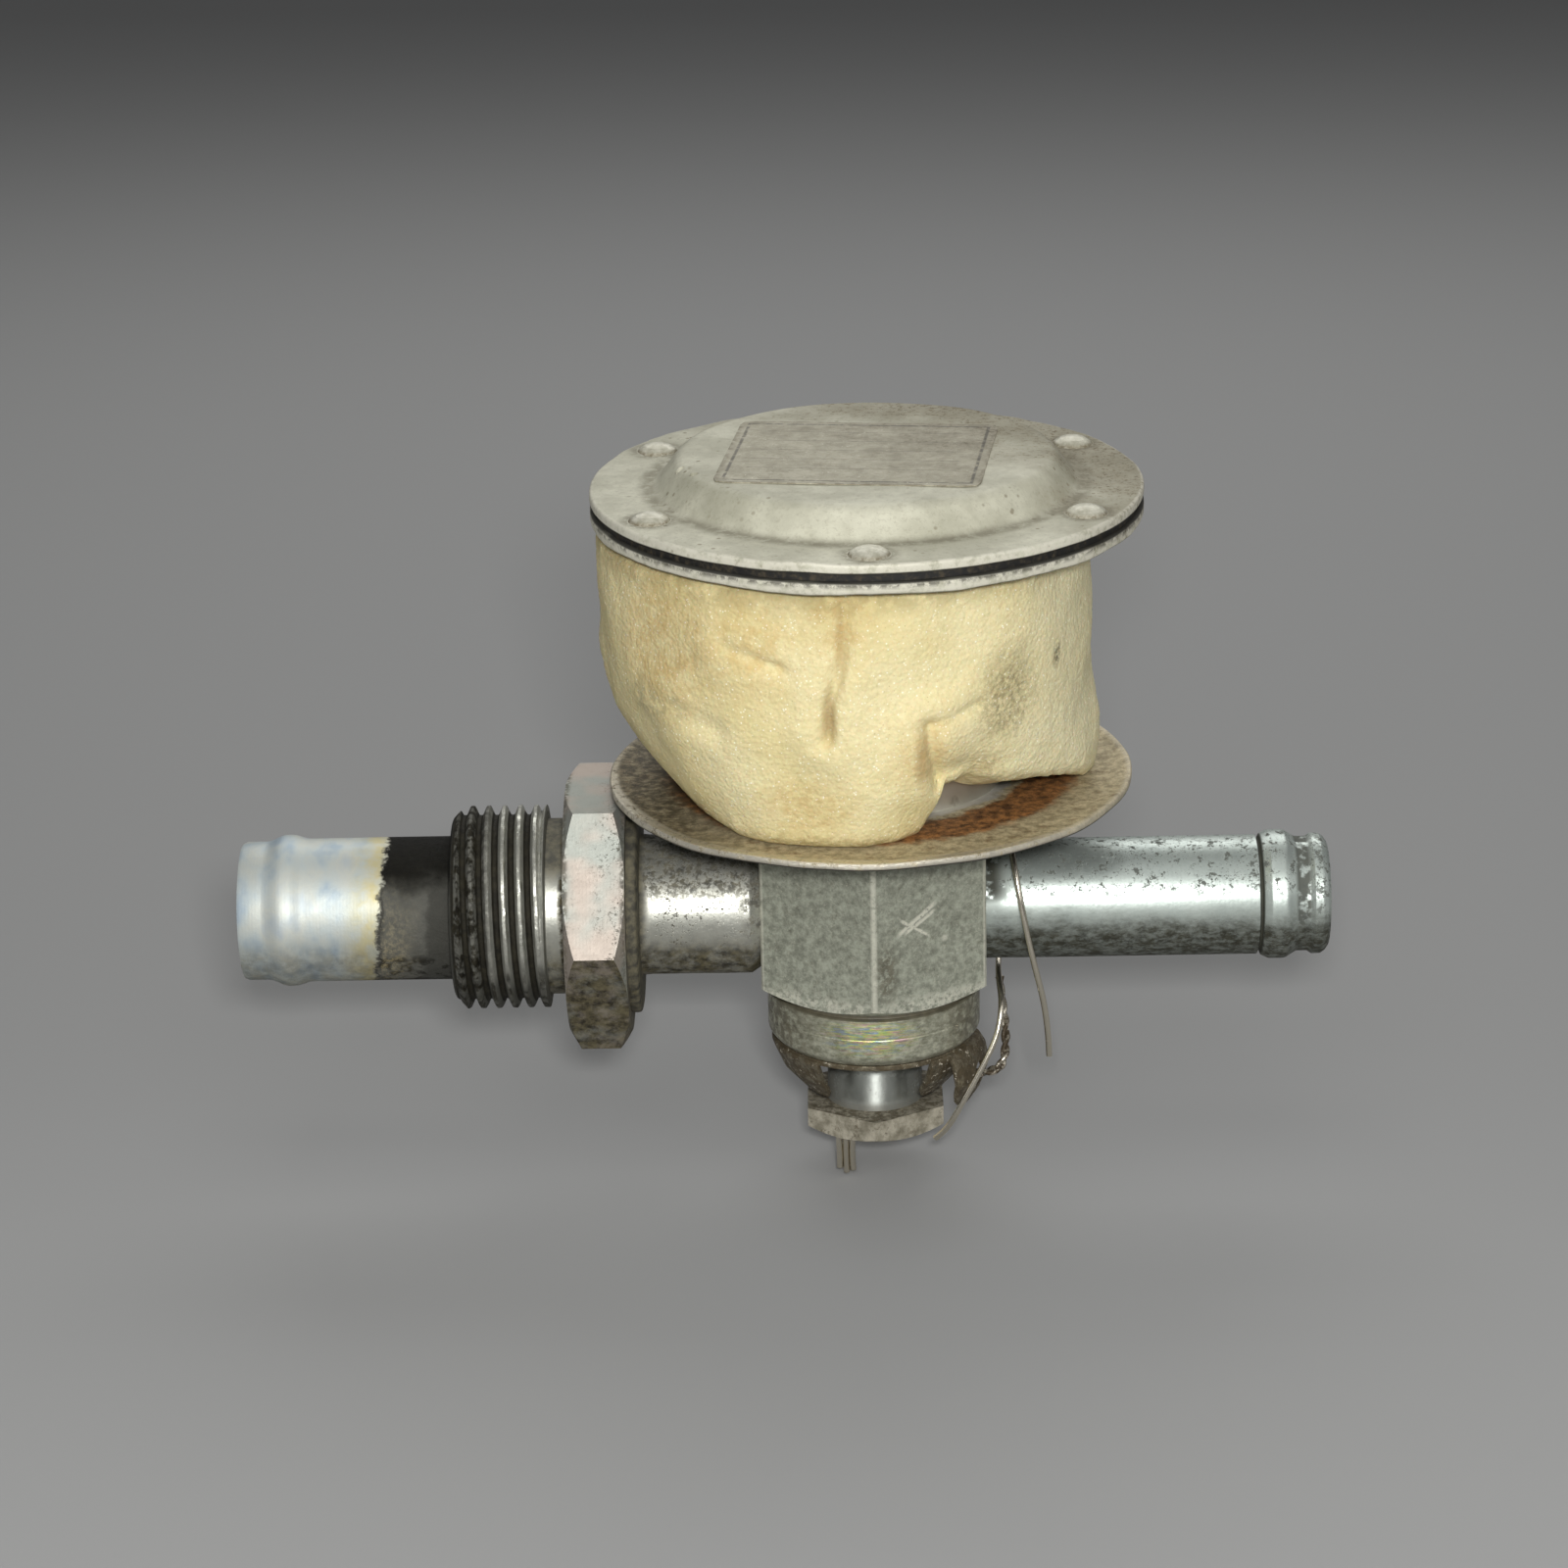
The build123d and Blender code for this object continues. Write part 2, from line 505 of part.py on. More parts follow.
def make_adjusting_screw():
    head = chamfered_hex(HEAD_AF, HEAD_END_Z, HEAD_TOP_Z, HEAD_AF / 2, HEAD_AF / 2 + 0.6)
    groove_half = RING_WIRE_R + 0.15
    shank = turned([
        (0, HEAD_TOP_Z), (SCREW_R, HEAD_TOP_Z), (SCREW_R, RING_GROOVE_Z - groove_half),
        (RING_R - RING_WIRE_R, RING_GROOVE_Z - groove_half),
        (RING_R - RING_WIRE_R, RING_GROOVE_Z + groove_half),
        (SCREW_R, RING_GROOVE_Z + groove_half), (SCREW_R, SCREW_TOP_Z - 0.8), (SCREW_R - 0.8, SCREW_TOP_Z),
        (0, SCREW_TOP_Z)])
    hole_r = 3 * WIRE_R + 0.15
    tail_hole = rod(hole_r, HEAD_END_Z - 1, HEAD_END_Z + TAIL_HOLE_DEPTH, TAIL_X, TAIL_Y)
    return at_axis(head + shank - tail_hole)


def make_screw_o_ring():
    return at_axis(Pos(0, 0, RING_GROOVE_Z) * Torus(RING_R, RING_WIRE_R - 0.01))


def make_spring_seat():
    return at_axis(turned([
        (0, SCREW_TOP_Z), (SPRING_SEAT_R - 0.3, SCREW_TOP_Z), (SPRING_SEAT_R, SCREW_TOP_Z + 0.3),
        (SPRING_SEAT_R, SCREW_TOP_Z + SPRING_SEAT_H), (SPRING_PILOT_R, SCREW_TOP_Z + SPRING_SEAT_H),
        (SPRING_PILOT_R, SCREW_TOP_Z + SPRING_SEAT_H + SPRING_PILOT_H - 0.5),
        (SPRING_PILOT_R - 0.5, SCREW_TOP_Z + SPRING_SEAT_H + SPRING_PILOT_H),
        (0, SCREW_TOP_Z + SPRING_SEAT_H + SPRING_PILOT_H)]))


def make_main_spring():
    low_z = SCREW_TOP_Z + SPRING_SEAT_H
    length = POPPET_BASE_Z - low_z
    height = length - 2 * SPRING_WIRE_R - 2 * SEAT_GAP
    coil = Helix(height / SPRING_TURNS, height, SPRING_R)
    section = Plane(coil @ 0, z_dir=coil % 0) * Circle(SPRING_WIRE_R)
    spring = sweep(section, coil, is_frenet=True)
    return at_axis(Pos(0, 0, low_z + SPRING_WIRE_R + SEAT_GAP) * spring)


def wire_path(points, tight=0.45):
    # Straight runs joined by tangent arcs, each as large as its two runs allow.
    spots = [Vector(*p) for p in points]
    radii = []
    for before, corner, after in zip(spots, spots[1:], spots[2:]):
        turn = radians((corner - before).get_angle(after - corner))
        run = min((corner - before).length, (after - corner).length)
        radii.append(tight * run / tan(turn / 2))
    return FilletPolyline(*[tuple(s) for s in spots], radius=radii)


def wire(points, radius):
    path = wire_path(points)
    return sweep(Plane(path @ 0, z_dir=path % 0) * Circle(radius), path)


def make_lock_wire_loop():
    # One wire: a free end in front, over the outlet tube, round its back and down to the screw head.
    return wire([
        (63.4, -9.0, -19.0), (63.2, -9.5, -13.0), (61.0, -9.9, -4.0), (59.3, -9.3, 5.0),
        (58.5, -4.8, 9.9), (58.1, 3.2, 10.2), (57.8, 9.4, 5.0), (57.6, 9.7, -3.0),
        (57.3, 4.8, -9.3), (56.9, -2.6, -10.0), (57.3, -6.9, -12.2), (56.6, -8.6, -16.3),
        (54.3, -9.8, -20.5), (51.7, -10.6, -25.1), (49.7, -10.0, -29.2), (48.2, -9.1, -30.7)], WIRE_R)


def make_lock_wire_twist():
    # Twisted pair from the loop under the tube down through the hole in the washer's ear.
    return wire([
        (57.1, 0.5, -10.5), (57.6, -1.4, -14.4), (57.9, -4.2, -18.2), (57.5, -6.6, -21.6),
        (54.7, -5.8, -22.9), (52.5, -4.9, -23.1)], TWIST_R)


def make_lock_wire_tail():
    strands = []
    for index, length in enumerate(TAIL_LENGTHS):
        x = TAIL_X + (index - 1) * (2 * WIRE_R + 0.02)
        strand = rod(WIRE_R, HEAD_END_Z - length, HEAD_END_Z + TAIL_HOLE_DEPTH - 0.2, x, TAIL_Y)
        strands.append(at_axis(strand))
    return Compound(strands)


NODES = {
    "inlet_fitting": make_inlet_fitting,
    "outlet_tube": make_outlet_tube,
    "valve_body": make_valve_body,
    "valve_seat": make_valve_seat,
    "poppet": make_poppet,
    "poppet_seal": make_poppet_seal,
    "poppet_nut": make_poppet_nut,
    "valve_stem": make_valve_stem,
    "stem_guide": make_stem_guide,
    "lower_housing": make_lower_housing,
    "diaphragm": make_diaphragm,
    "diaphragm_plate_lower": lambda: make_clamp_plate(LOWER_PLATE_R, DIAPHRAGM_Z - CLAMP_PLATE_T),
    "diaphragm_plate_upper": lambda: make_clamp_plate(UPPER_PLATE_R, DIAPHRAGM_Z + DIAPHRAGM_T),
    "stem_nut": make_stem_nut,
    "upper_cover": make_upper_cover,
    "cover_rivets": make_cover_rivets,
    "name_plate": make_name_plate,
    "filter_plate": make_filter_plate,
    "filter_cage": make_filter_cage,
    "foam_filter": make_foam_filter,
    "lock_tab_washer": make_lock_tab_washer,
    "adjusting_screw": make_adjusting_screw,
    "screw_o_ring": make_screw_o_ring,
    "spring_seat": make_spring_seat,
    "main_spring": make_main_spring,
    "lock_wire_loop": make_lock_wire_loop,
    "lock_wire_twist": make_lock_wire_twist,
    "lock_wire_tail": make_lock_wire_tail,
}

for name, make in NODES.items():
    export_step(make(), f"parts/{name}.step")
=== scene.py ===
from math import cos, pi, radians, sin, tan

import bpy
import numpy as np
from mathutils import Matrix, Vector, noise


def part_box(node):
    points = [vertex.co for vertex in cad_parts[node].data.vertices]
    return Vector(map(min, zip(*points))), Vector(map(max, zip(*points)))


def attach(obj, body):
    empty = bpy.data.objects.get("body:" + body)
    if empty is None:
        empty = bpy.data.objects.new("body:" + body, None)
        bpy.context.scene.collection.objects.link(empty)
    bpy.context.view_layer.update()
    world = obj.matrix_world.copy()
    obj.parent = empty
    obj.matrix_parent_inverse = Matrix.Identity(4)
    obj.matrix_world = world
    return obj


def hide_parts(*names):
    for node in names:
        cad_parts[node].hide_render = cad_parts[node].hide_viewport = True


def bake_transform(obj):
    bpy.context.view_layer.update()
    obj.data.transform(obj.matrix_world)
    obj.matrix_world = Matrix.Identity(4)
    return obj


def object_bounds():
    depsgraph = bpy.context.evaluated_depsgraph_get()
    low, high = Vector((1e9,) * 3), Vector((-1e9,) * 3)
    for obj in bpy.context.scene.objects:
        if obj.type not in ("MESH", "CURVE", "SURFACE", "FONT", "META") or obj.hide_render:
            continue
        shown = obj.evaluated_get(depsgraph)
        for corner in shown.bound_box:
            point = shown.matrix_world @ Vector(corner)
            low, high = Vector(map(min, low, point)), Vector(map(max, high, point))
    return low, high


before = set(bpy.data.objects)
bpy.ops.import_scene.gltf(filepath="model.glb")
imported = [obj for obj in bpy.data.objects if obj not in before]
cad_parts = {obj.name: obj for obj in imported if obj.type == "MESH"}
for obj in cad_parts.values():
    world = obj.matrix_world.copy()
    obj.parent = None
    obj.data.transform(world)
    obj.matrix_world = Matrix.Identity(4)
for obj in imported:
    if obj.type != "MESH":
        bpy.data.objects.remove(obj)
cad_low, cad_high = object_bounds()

bl_info = {
    "name": "Vacuum Regulating Valve",
    "version": (1, 0, 0),
    "blender": (4, 5, 0),
    "location": "View3D > Sidebar > Valve",
    "description": "Builds the visible pieces and finishes of a vacuum regulating valve around its frame",
    "category": "Object",
}

MM = 0.001
HOUSING = "valve_housing"
SPINDLE = "valve_spindle"
CARRIER = "spring_carrier"
ADJUSTER = "adjuster"
MERGE_DISTANCE = 1e-6

# The valve axis is the middle of the screw's node, in millimetres from the bulkhead face.
screw_low, screw_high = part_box("adjusting_screw")
VALVE_X = (screw_low.x + screw_high.x) / 2 / MM
HOSE_LINE = (Vector((0, 0, 0)), Vector((1, 0, 0)), Vector((0, 0, 1)))
VALVE_LINE = (Vector((VALVE_X, 0, 0)), Vector((0, 0, 1)), Vector((1, 0, 0)))

# Sizes that more than one piece needs, in millimetres, with angles in degrees.
BODY_FLATS = 29.7
BAR_FOOT = -10.7
BAR_TOP = 17.1
BULKHEAD_LENGTH = 8.1
TUBE_END = 4.4
HEAD_FLATS = 18.2
HEAD_FOOT = -31.2
COLLAR_RADIUS = 14.2
INLET_BORE = 7.6
OUTLET_BORE = 6.3
LABEL_TURN = 7.0
LABEL_X = -1.0
LABEL_Y = -1.35
FOIL_LENGTH = 33.8
FOIL_WIDTH = 28.3
FOIL_HEIGHT = 62.2
RIVET_COUNT = 6
RIVET_CIRCLE = 31.6
RIVET_SEAT = 58.1
FIRST_RIVET = 30
LOOP_WIRE_RADIUS = 0.41
PAIR_WIRE_RADIUS = 0.34
PAIR_OFFSET = 0.36
PAIR_LAY = 4.2
TAIL_WIRE_RADIUS = 0.43


def rivet_spot(index):
    """Where a rivet's head sits on the cover's flange, in millimetres."""
    angle = radians(FIRST_RIVET) + index * 2 * pi / RIVET_COUNT
    return (VALVE_X + RIVET_CIRCLE * cos(angle), RIVET_CIRCLE * sin(angle), RIVET_SEAT)


def tint(red, green, blue):
    """A colour as a screen shows it, 0 to 255, turned into the shader's linear values."""
    def linear(channel):
        share = channel / 255
        return share / 12.92 if share <= 0.04045 else ((share + 0.055) / 1.055) ** 2.4
    return (linear(red), linear(green), linear(blue), 1.0)


# Shader maths

class Signal:
    """One socket of a shader node, with arithmetic."""

    def __init__(self, finish, socket):
        self.finish = finish
        self.socket = socket

    def maths(self, operation, first, second=0.0, clamp=False):
        return self.finish.node(
            "ShaderNodeMath", {"operation": operation, "use_clamp": clamp}, {0: first, 1: second})

    def __add__(self, other):
        return self.maths("ADD", self, other)

    def __radd__(self, other):
        return self.maths("ADD", other, self)

    def __sub__(self, other):
        return self.maths("SUBTRACT", self, other)

    def __rsub__(self, other):
        return self.maths("SUBTRACT", other, self)

    def __mul__(self, other):
        return self.maths("MULTIPLY", self, other)

    def __rmul__(self, other):
        return self.maths("MULTIPLY", other, self)

    def __abs__(self):
        return self.maths("ABSOLUTE", self)

    def clamped(self):
        return self.maths("ADD", self, 0.0, clamp=True)

    def most(self, other):
        return self.maths("MAXIMUM", self, other)

    def wave(self):
        return self.maths("SINE", self)

    def rise(self, low, high):
        """0 below low, 1 above high, and smooth between; low may be the larger one."""
        return self.finish.node(
            "ShaderNodeMapRange", {"interpolation_type": "SMOOTHSTEP"},
            {"Value": self, "From Min": low, "From Max": high, "To Min": 0.0, "To Max": 1.0})


class Finish:
    """A material under construction. Lengths in its patterns are millimetres on the object."""

    def __init__(self, name):
        self.material = bpy.data.materials.new(name)
        self.material.use_nodes = True
        self.tree = self.material.node_tree
        self.tree.nodes.clear()
        self.shader = self.tree.nodes.new("ShaderNodeBsdfPrincipled")
        output = self.tree.nodes.new("ShaderNodeOutputMaterial")
        self.tree.links.new(self.shader.outputs["BSDF"], output.inputs["Surface"])
        here = self.node("ShaderNodeTexCoord", output="Object")
        self.place = self.node("ShaderNodeVectorMath", {"operation": "SCALE"}, {0: here, "Scale": 1 / MM})
        self.x, self.y, self.z = (
            self.node("ShaderNodeSeparateXYZ", inputs={0: self.place}, output=axis) for axis in "XYZ")

    def node(self, kind, settings=None, inputs=None, output=0):
        made = self.tree.nodes.new(kind)
        for name, value in (settings or {}).items():
            if name == "stops":
                ramp = made.color_ramp
                while len(ramp.elements) < len(value):
                    ramp.elements.new(0.5)
                for element, (position, colour) in zip(ramp.elements, value):
                    element.position = position
                    element.color = colour
            else:
                setattr(made, name, value)
        for name, value in (inputs or {}).items():
            self.feed(made.inputs[name], value)
        return Signal(self, made.outputs[output])

    def feed(self, socket, value):
        if isinstance(value, Signal):
            self.tree.links.new(value.socket, socket)
        else:
            socket.default_value = value

    def moved(self, shift=(0, 0, 0), stretch=(1, 1, 1)):
        shifted = self.node("ShaderNodeVectorMath", {"operation": "ADD"}, {0: self.place, 1: shift})
        return self.node("ShaderNodeVectorMath", {"operation": "MULTIPLY"}, {0: shifted, 1: stretch})

    def cloud(self, size, detail=3.0, rough=0.55, shift=(0, 0, 0), stretch=(1, 1, 1)):
        """Soft noise whose blotches are about size millimetres across."""
        return self.node(
            "ShaderNodeTexNoise", {"noise_dimensions": "3D"},
            {"Vector": self.moved(shift, stretch), "Scale": 1 / size, "Detail": detail, "Roughness": rough})

    def cells(self, size, shift=(0, 0, 0)):
        """Distance from the middle of the nearest cell, for cells about size millimetres across."""
        return self.node(
            "ShaderNodeTexVoronoi", {"voronoi_dimensions": "3D", "feature": "F1"},
            {"Vector": self.moved(shift), "Scale": 1 / size}, output="Distance")

    def patch(self, centre, radius, soft=0.5, stretch=(1, 1, 1)):
        """1 inside a round stain, 0 outside."""
        shift = tuple(-c for c in centre)
        away = self.node(
            "ShaderNodeVectorMath", {"operation": "LENGTH"}, {0: self.moved(shift, stretch)}, output="Value")
        return away.rise(radius * (1 + soft), radius * (1 - soft))

    def radius(self, line):
        """Distance from the hose line or the valve line."""
        if line is HOSE_LINE:
            across = self.y * self.y + self.z * self.z
        else:
            offset = self.x - VALVE_X
            across = offset * offset + self.y * self.y
        return across.maths("SQRT", across)

    def mix(self, factor, first, second):
        return self.node(
            "ShaderNodeMix", {"data_type": "RGBA", "clamp_factor": True},
            {0: factor, 6: first, 7: second}, output=2)

    def shades(self, value, *stops):
        return self.node("ShaderNodeValToRGB", {"stops": stops}, {0: value})

    def facing_up(self):
        """The upward part of the surface normal."""
        normal = self.node("ShaderNodeNewGeometry", output="Normal")
        return self.node("ShaderNodeSeparateXYZ", inputs={0: normal}, output="Z")

    def relief(self, *layers):
        """Stacks height layers, each a (height, depth in millimetres, strength)."""
        normal = None
        for height, depth, strength in layers:
            inputs = {"Height": height, "Distance": depth * MM, "Strength": strength}
            if normal:
                inputs["Normal"] = normal
            normal = self.node("ShaderNodeBump", inputs=inputs)
        return normal

    def done(self, colour, roughness, metallic=0.0, normal=None, **others):
        self.feed(self.shader.inputs["Base Color"], colour)
        self.feed(self.shader.inputs["Roughness"], roughness)
        self.feed(self.shader.inputs["Metallic"], metallic)
        if normal:
            self.feed(self.shader.inputs["Normal"], normal)
        for name, value in others.items():
            self.feed(self.shader.inputs[name.replace("_", " ")], value)
        return self.material


# Finishes

def zinc_plate():
    """Inlet fitting: whitish zinc at the hose end, tar, a grimy thread, bright hex and pitted tube; painted
    shade lies underneath, by the hex and under the plate.
    """
    f = Finish("zinc_plate")
    height = f.z + (f.cloud(4.0, 4.0, 0.6, shift=(3, 3, 3)) - 0.5) * 5.0
    ragged = f.x + (f.cloud(2.0, 5.0, 0.75) - 0.5) * 3.0 - height * 0.10
    thread = f.x.rise(-15.6, -14.8) * f.x.rise(-2.3, -2.9)
    hex_zone = f.x.rise(-0.3, 0.1) * f.x.rise(8.4, 7.9)
    tube = f.x.rise(9.5, 10.2)
    hose_end = ragged.rise(-24.6, -25.2)

    # Zinc with a faint blue sheen, yellow only beside the tar.
    rainbow = f.shades(
        f.cloud(6.0, 3.0, 0.5, stretch=(1.5, 1, 1)),
        (0.34, tint(172, 186, 194)), (0.46, tint(192, 200, 198)),
        (0.58, tint(200, 203, 195)), (0.72, tint(184, 193, 196)))
    yellowed = ragged.rise(-30.0, -25.4) * (0.45 + f.cloud(2.0, 3.0).rise(0.35, 0.6) * 0.55)
    white_zinc = f.mix(yellowed * 0.8, rainbow, tint(204, 192, 140))
    bare = f.mix(f.cloud(2.6, 5.0, 0.6), tint(168, 168, 158), tint(216, 216, 205))
    hex_cloud = f.cloud(5.0, 2.0, 0.4, shift=(6, 6, 0)).rise(0.35, 0.65)
    hex_zinc = f.mix(hex_cloud, tint(158, 161, 153), tint(174, 163, 152))
    bare = f.mix(hex_zone, bare, hex_zinc)
    colour = f.mix(hose_end, bare, white_zinc)

    # The tar is thick and black above and thins to a brown film below.
    band = (1 - hose_end) * f.x.rise(-14.4, -15.0)
    thick = (ragged.rise(-22.5, -18.0) * 0.9).most(height.rise(-4.0, 8.0))
    thick = thick.most(height.rise(-5.0, -9.0) * 0.8)
    edge_line = ragged.rise(-25.2, -24.9) * ragged.rise(-23.9, -24.4) * 0.9
    tar = band * thick.most(edge_line * f.cloud(1.0, 4.0).rise(0.3, 0.5)).clamped()
    film = band * 0.82
    # Grime fills the thread's roots and is worst towards the hose end.
    roots = f.radius(HOSE_LINE).rise(13.10, 12.55)
    oily = f.cloud(1.5, 4.0, 0.7).rise(0.40, 0.58)
    left_thread = f.x.rise(-7.0, -11.5) * (0.78 + oily * 0.22)
    # Painted shade: the thread darkens towards its bottom.
    thread_underside_shade = f.z.rise(0.0, -8.0) * 0.85
    thread_dirt_and_shade = thread * (roots * 0.99).most(left_thread).most(oily * 0.4).most(thread_underside_shade)
    near_hex = f.x.rise(-1.3, -0.5) * f.x.rise(0.1, -0.1) * (0.4 + oily * 0.6)
    above_or_below = f.z.rise(-2.0, -7.0).most(f.z.rise(5.0, 9.0))
    neck_dirt = f.x.rise(-3.0, -2.6) * f.x.rise(0.1, -0.1) * above_or_below * 0.85
    pit_zone = f.cloud(3.6, 3.0, 0.6, shift=(9, 2, 5)).rise(0.38, 0.58)
    speckle = f.cloud(0.42, 3.0, 0.75).rise(0.54, 0.64)
    hex_side = f.x.rise(3.5, 7.5).most(f.z.rise(2.0, -6.0) * 0.6) * 0.7 + 0.15
    hex_pits = f.cloud(0.42, 4.0, 0.8, shift=(5, 0, 3)).rise(0.54, 0.66) * hex_side
    hex_pits = hex_pits * f.cloud(2.4, 3.0, shift=(0, 3, 3)).rise(0.36, 0.6)
    rub = f.x.rise(0.9, 0.2).most(f.x.rise(7.2, 7.9)) * hex_zone * f.cloud(0.8, 4.0, 0.7).rise(0.40, 0.56)
    # Painted shadow of the plate over the top of the tube, broken up like pits.
    upper = f.z.rise(2.5, 6.0) * (0.35 + f.cloud(0.9, 4.0, 0.75, shift=(2, 0, 7)).rise(0.42, 0.58) * 0.6)
    pits = (speckle * pit_zone * tube).most(upper * tube).most(hex_pits * hex_zone).most(rub * 0.7)
    # Painted shade: the underside of the fitting is darker, less so at the hose end.
    uneven = f.cloud(2.2, 5.0, 0.7, shift=(3, 1, 3)).rise(0.3, 0.6)
    under = f.facing_up().rise(0.10, -0.45) * (0.62 + uneven * 0.36)
    under = under * (1 - hose_end * 0.35)
    # Painted shade, with some brown dirt, at the shoulder right of the big hex.
    corner = f.x.rise(7.9, 8.15) * f.x.rise(11.5, 9.6) * 0.92
    ends = f.x.rise(21.5, 24.9) * f.cloud(1.6, 4.0, 0.7).rise(0.42, 0.6)
    dirt = tar.most(film).most(thread_dirt_and_shade).most(neck_dirt).most(near_hex).most(pits * 0.9).most(under)
    dirt = dirt.most(corner).most(ends * 0.8).clamped()
    brown = f.mix(f.cloud(1.3, 4.0, 0.65).rise(0.3, 0.7), tint(30, 26, 17), tint(98, 91, 68))
    black = f.mix(f.cloud(0.9, 4.0, 0.7), tint(6, 6, 4), tint(28, 26, 18))
    freckles = f.cloud(0.8, 5.0, 0.75, shift=(1, 7, 2)).rise(0.42, 0.62) * ragged.rise(-18.0, -24.0)
    film_colour = f.mix(freckles, tint(44, 39, 25), tint(136, 124, 90))
    grime = f.mix(film, brown, film_colour)
    grime = f.mix(tar.most(thread * 0.85), grime, black)
    colour = f.mix(dirt, colour, grime)
    roughness = 0.30 + f.cloud(1.5, 4.0) * 0.16 + dirt * 0.36 + hose_end * 0.18 + hex_zone * 0.16
    relief = f.relief(
        ((f.x * 14.0).wave(), 0.004, 0.3), (f.cloud(0.5, 4.0, 0.65), 0.05, 0.5), (pits, -0.05, 0.6),
        (tar * f.cloud(0.8, 5.0, 0.75), 0.4, 0.9), (thread_dirt_and_shade * f.cloud(0.7, 4.0, 0.7), 0.2, 0.7))
    metallic = (1 - hose_end * 0.45 - hex_zone * 0.35) * (1 - dirt * 0.92)
    return f.done(colour, roughness.clamped(), metallic, relief, IOR=1.28)


def outlet_plate():
    """Outlet tube: bright plated steel with clusters of dark pits, and an underside darkened by painted
    shade and some dirt.
    """
    f = Finish("outlet_plate")
    metal = f.mix(f.cloud(6.0, 3.0), tint(170, 180, 174), tint(212, 220, 212))
    # Pits are kept thin along the band where the highlight falls, a painted part of that highlight.
    off_highlight_band = f.z.rise(2.5, 4.5).most(f.z.rise(0.5, -2.0) * 0.7) + 0.12
    pits = f.cloud(0.8, 5.0, 0.8, shift=(2, 5, 1)).rise(0.57, 0.64)
    pits = pits * f.cloud(3.5, 3.0, 0.6).rise(0.44, 0.58) * off_highlight_band
    fine = f.cloud(0.42, 3.0, 0.75).rise(0.57, 0.68)
    fine = fine * f.cloud(6.0, 3.0, shift=(4, 0, 8)).rise(0.40, 0.58) * off_highlight_band
    spots = f.cloud(1.1, 4.0, 0.7, shift=(8, 8, 0)).rise(0.55, 0.62) * f.z.rise(2.0, 4.5) * 0.8
    # Painted shade over the underside, with some dirt and streaks in it.
    shade = f.z + (f.cloud(2.4, 5.0, 0.7, stretch=(0.5, 1, 1)) - 0.5) * 6.0
    under = shade.rise(2.6, -2.8)
    film = under * (0.74 + f.cloud(0.9, 5.0, 0.75, stretch=(0.6, 1, 1)).rise(0.35, 0.6) * 0.25)
    streak = f.cloud(1.1, 4.0, 0.7, stretch=(0.16, 1, 1), shift=(1, 4, 4)).rise(0.58, 0.72)
    streak = streak * shade.rise(1.5, -2.5)
    # Dirt and painted shade darken the groove almost to black.
    groove = f.x.rise(91.15, 91.35) * f.x.rise(92.0, 91.65)
    ends = f.x.rise(95.6, 96.4) * f.x.rise(98.7, 97.6) * f.cloud(1.2, 5.0).rise(0.34, 0.52)
    tip = f.x.rise(96.0, 99.5) * f.cloud(0.9, 4.0, 0.7, shift=(5, 5, 2)).rise(0.50, 0.62)
    root = f.x.rise(59.5, 56.0) * f.cloud(1.3, 4.0).rise(0.30, 0.50) * f.z.rise(1.0, 4.0).most(0.35)
    dirt = pits.most(fine * 0.85).most(spots).most(film).most(streak * 0.7)
    dirt = dirt.most(groove * 0.97).most(ends * 0.85).most(tip * 0.75).most(root * 0.95).clamped()
    colour = f.mix(dirt, metal, f.mix(f.cloud(1.3, 4.0), tint(20, 20, 14), tint(72, 70, 56)))
    relief = f.relief(
        ((f.x * 11.0).wave(), 0.003, 0.3), (f.cloud(0.6, 4.0, 0.6), 0.04, 0.5), (pits, -0.06, 0.6))
    roughness = (0.32 + f.cloud(2.0, 4.0) * 0.16 + dirt * 0.34).clamped()
    return f.done(colour, roughness, 0.8 - dirt * 0.65, relief, IOR=1.35)


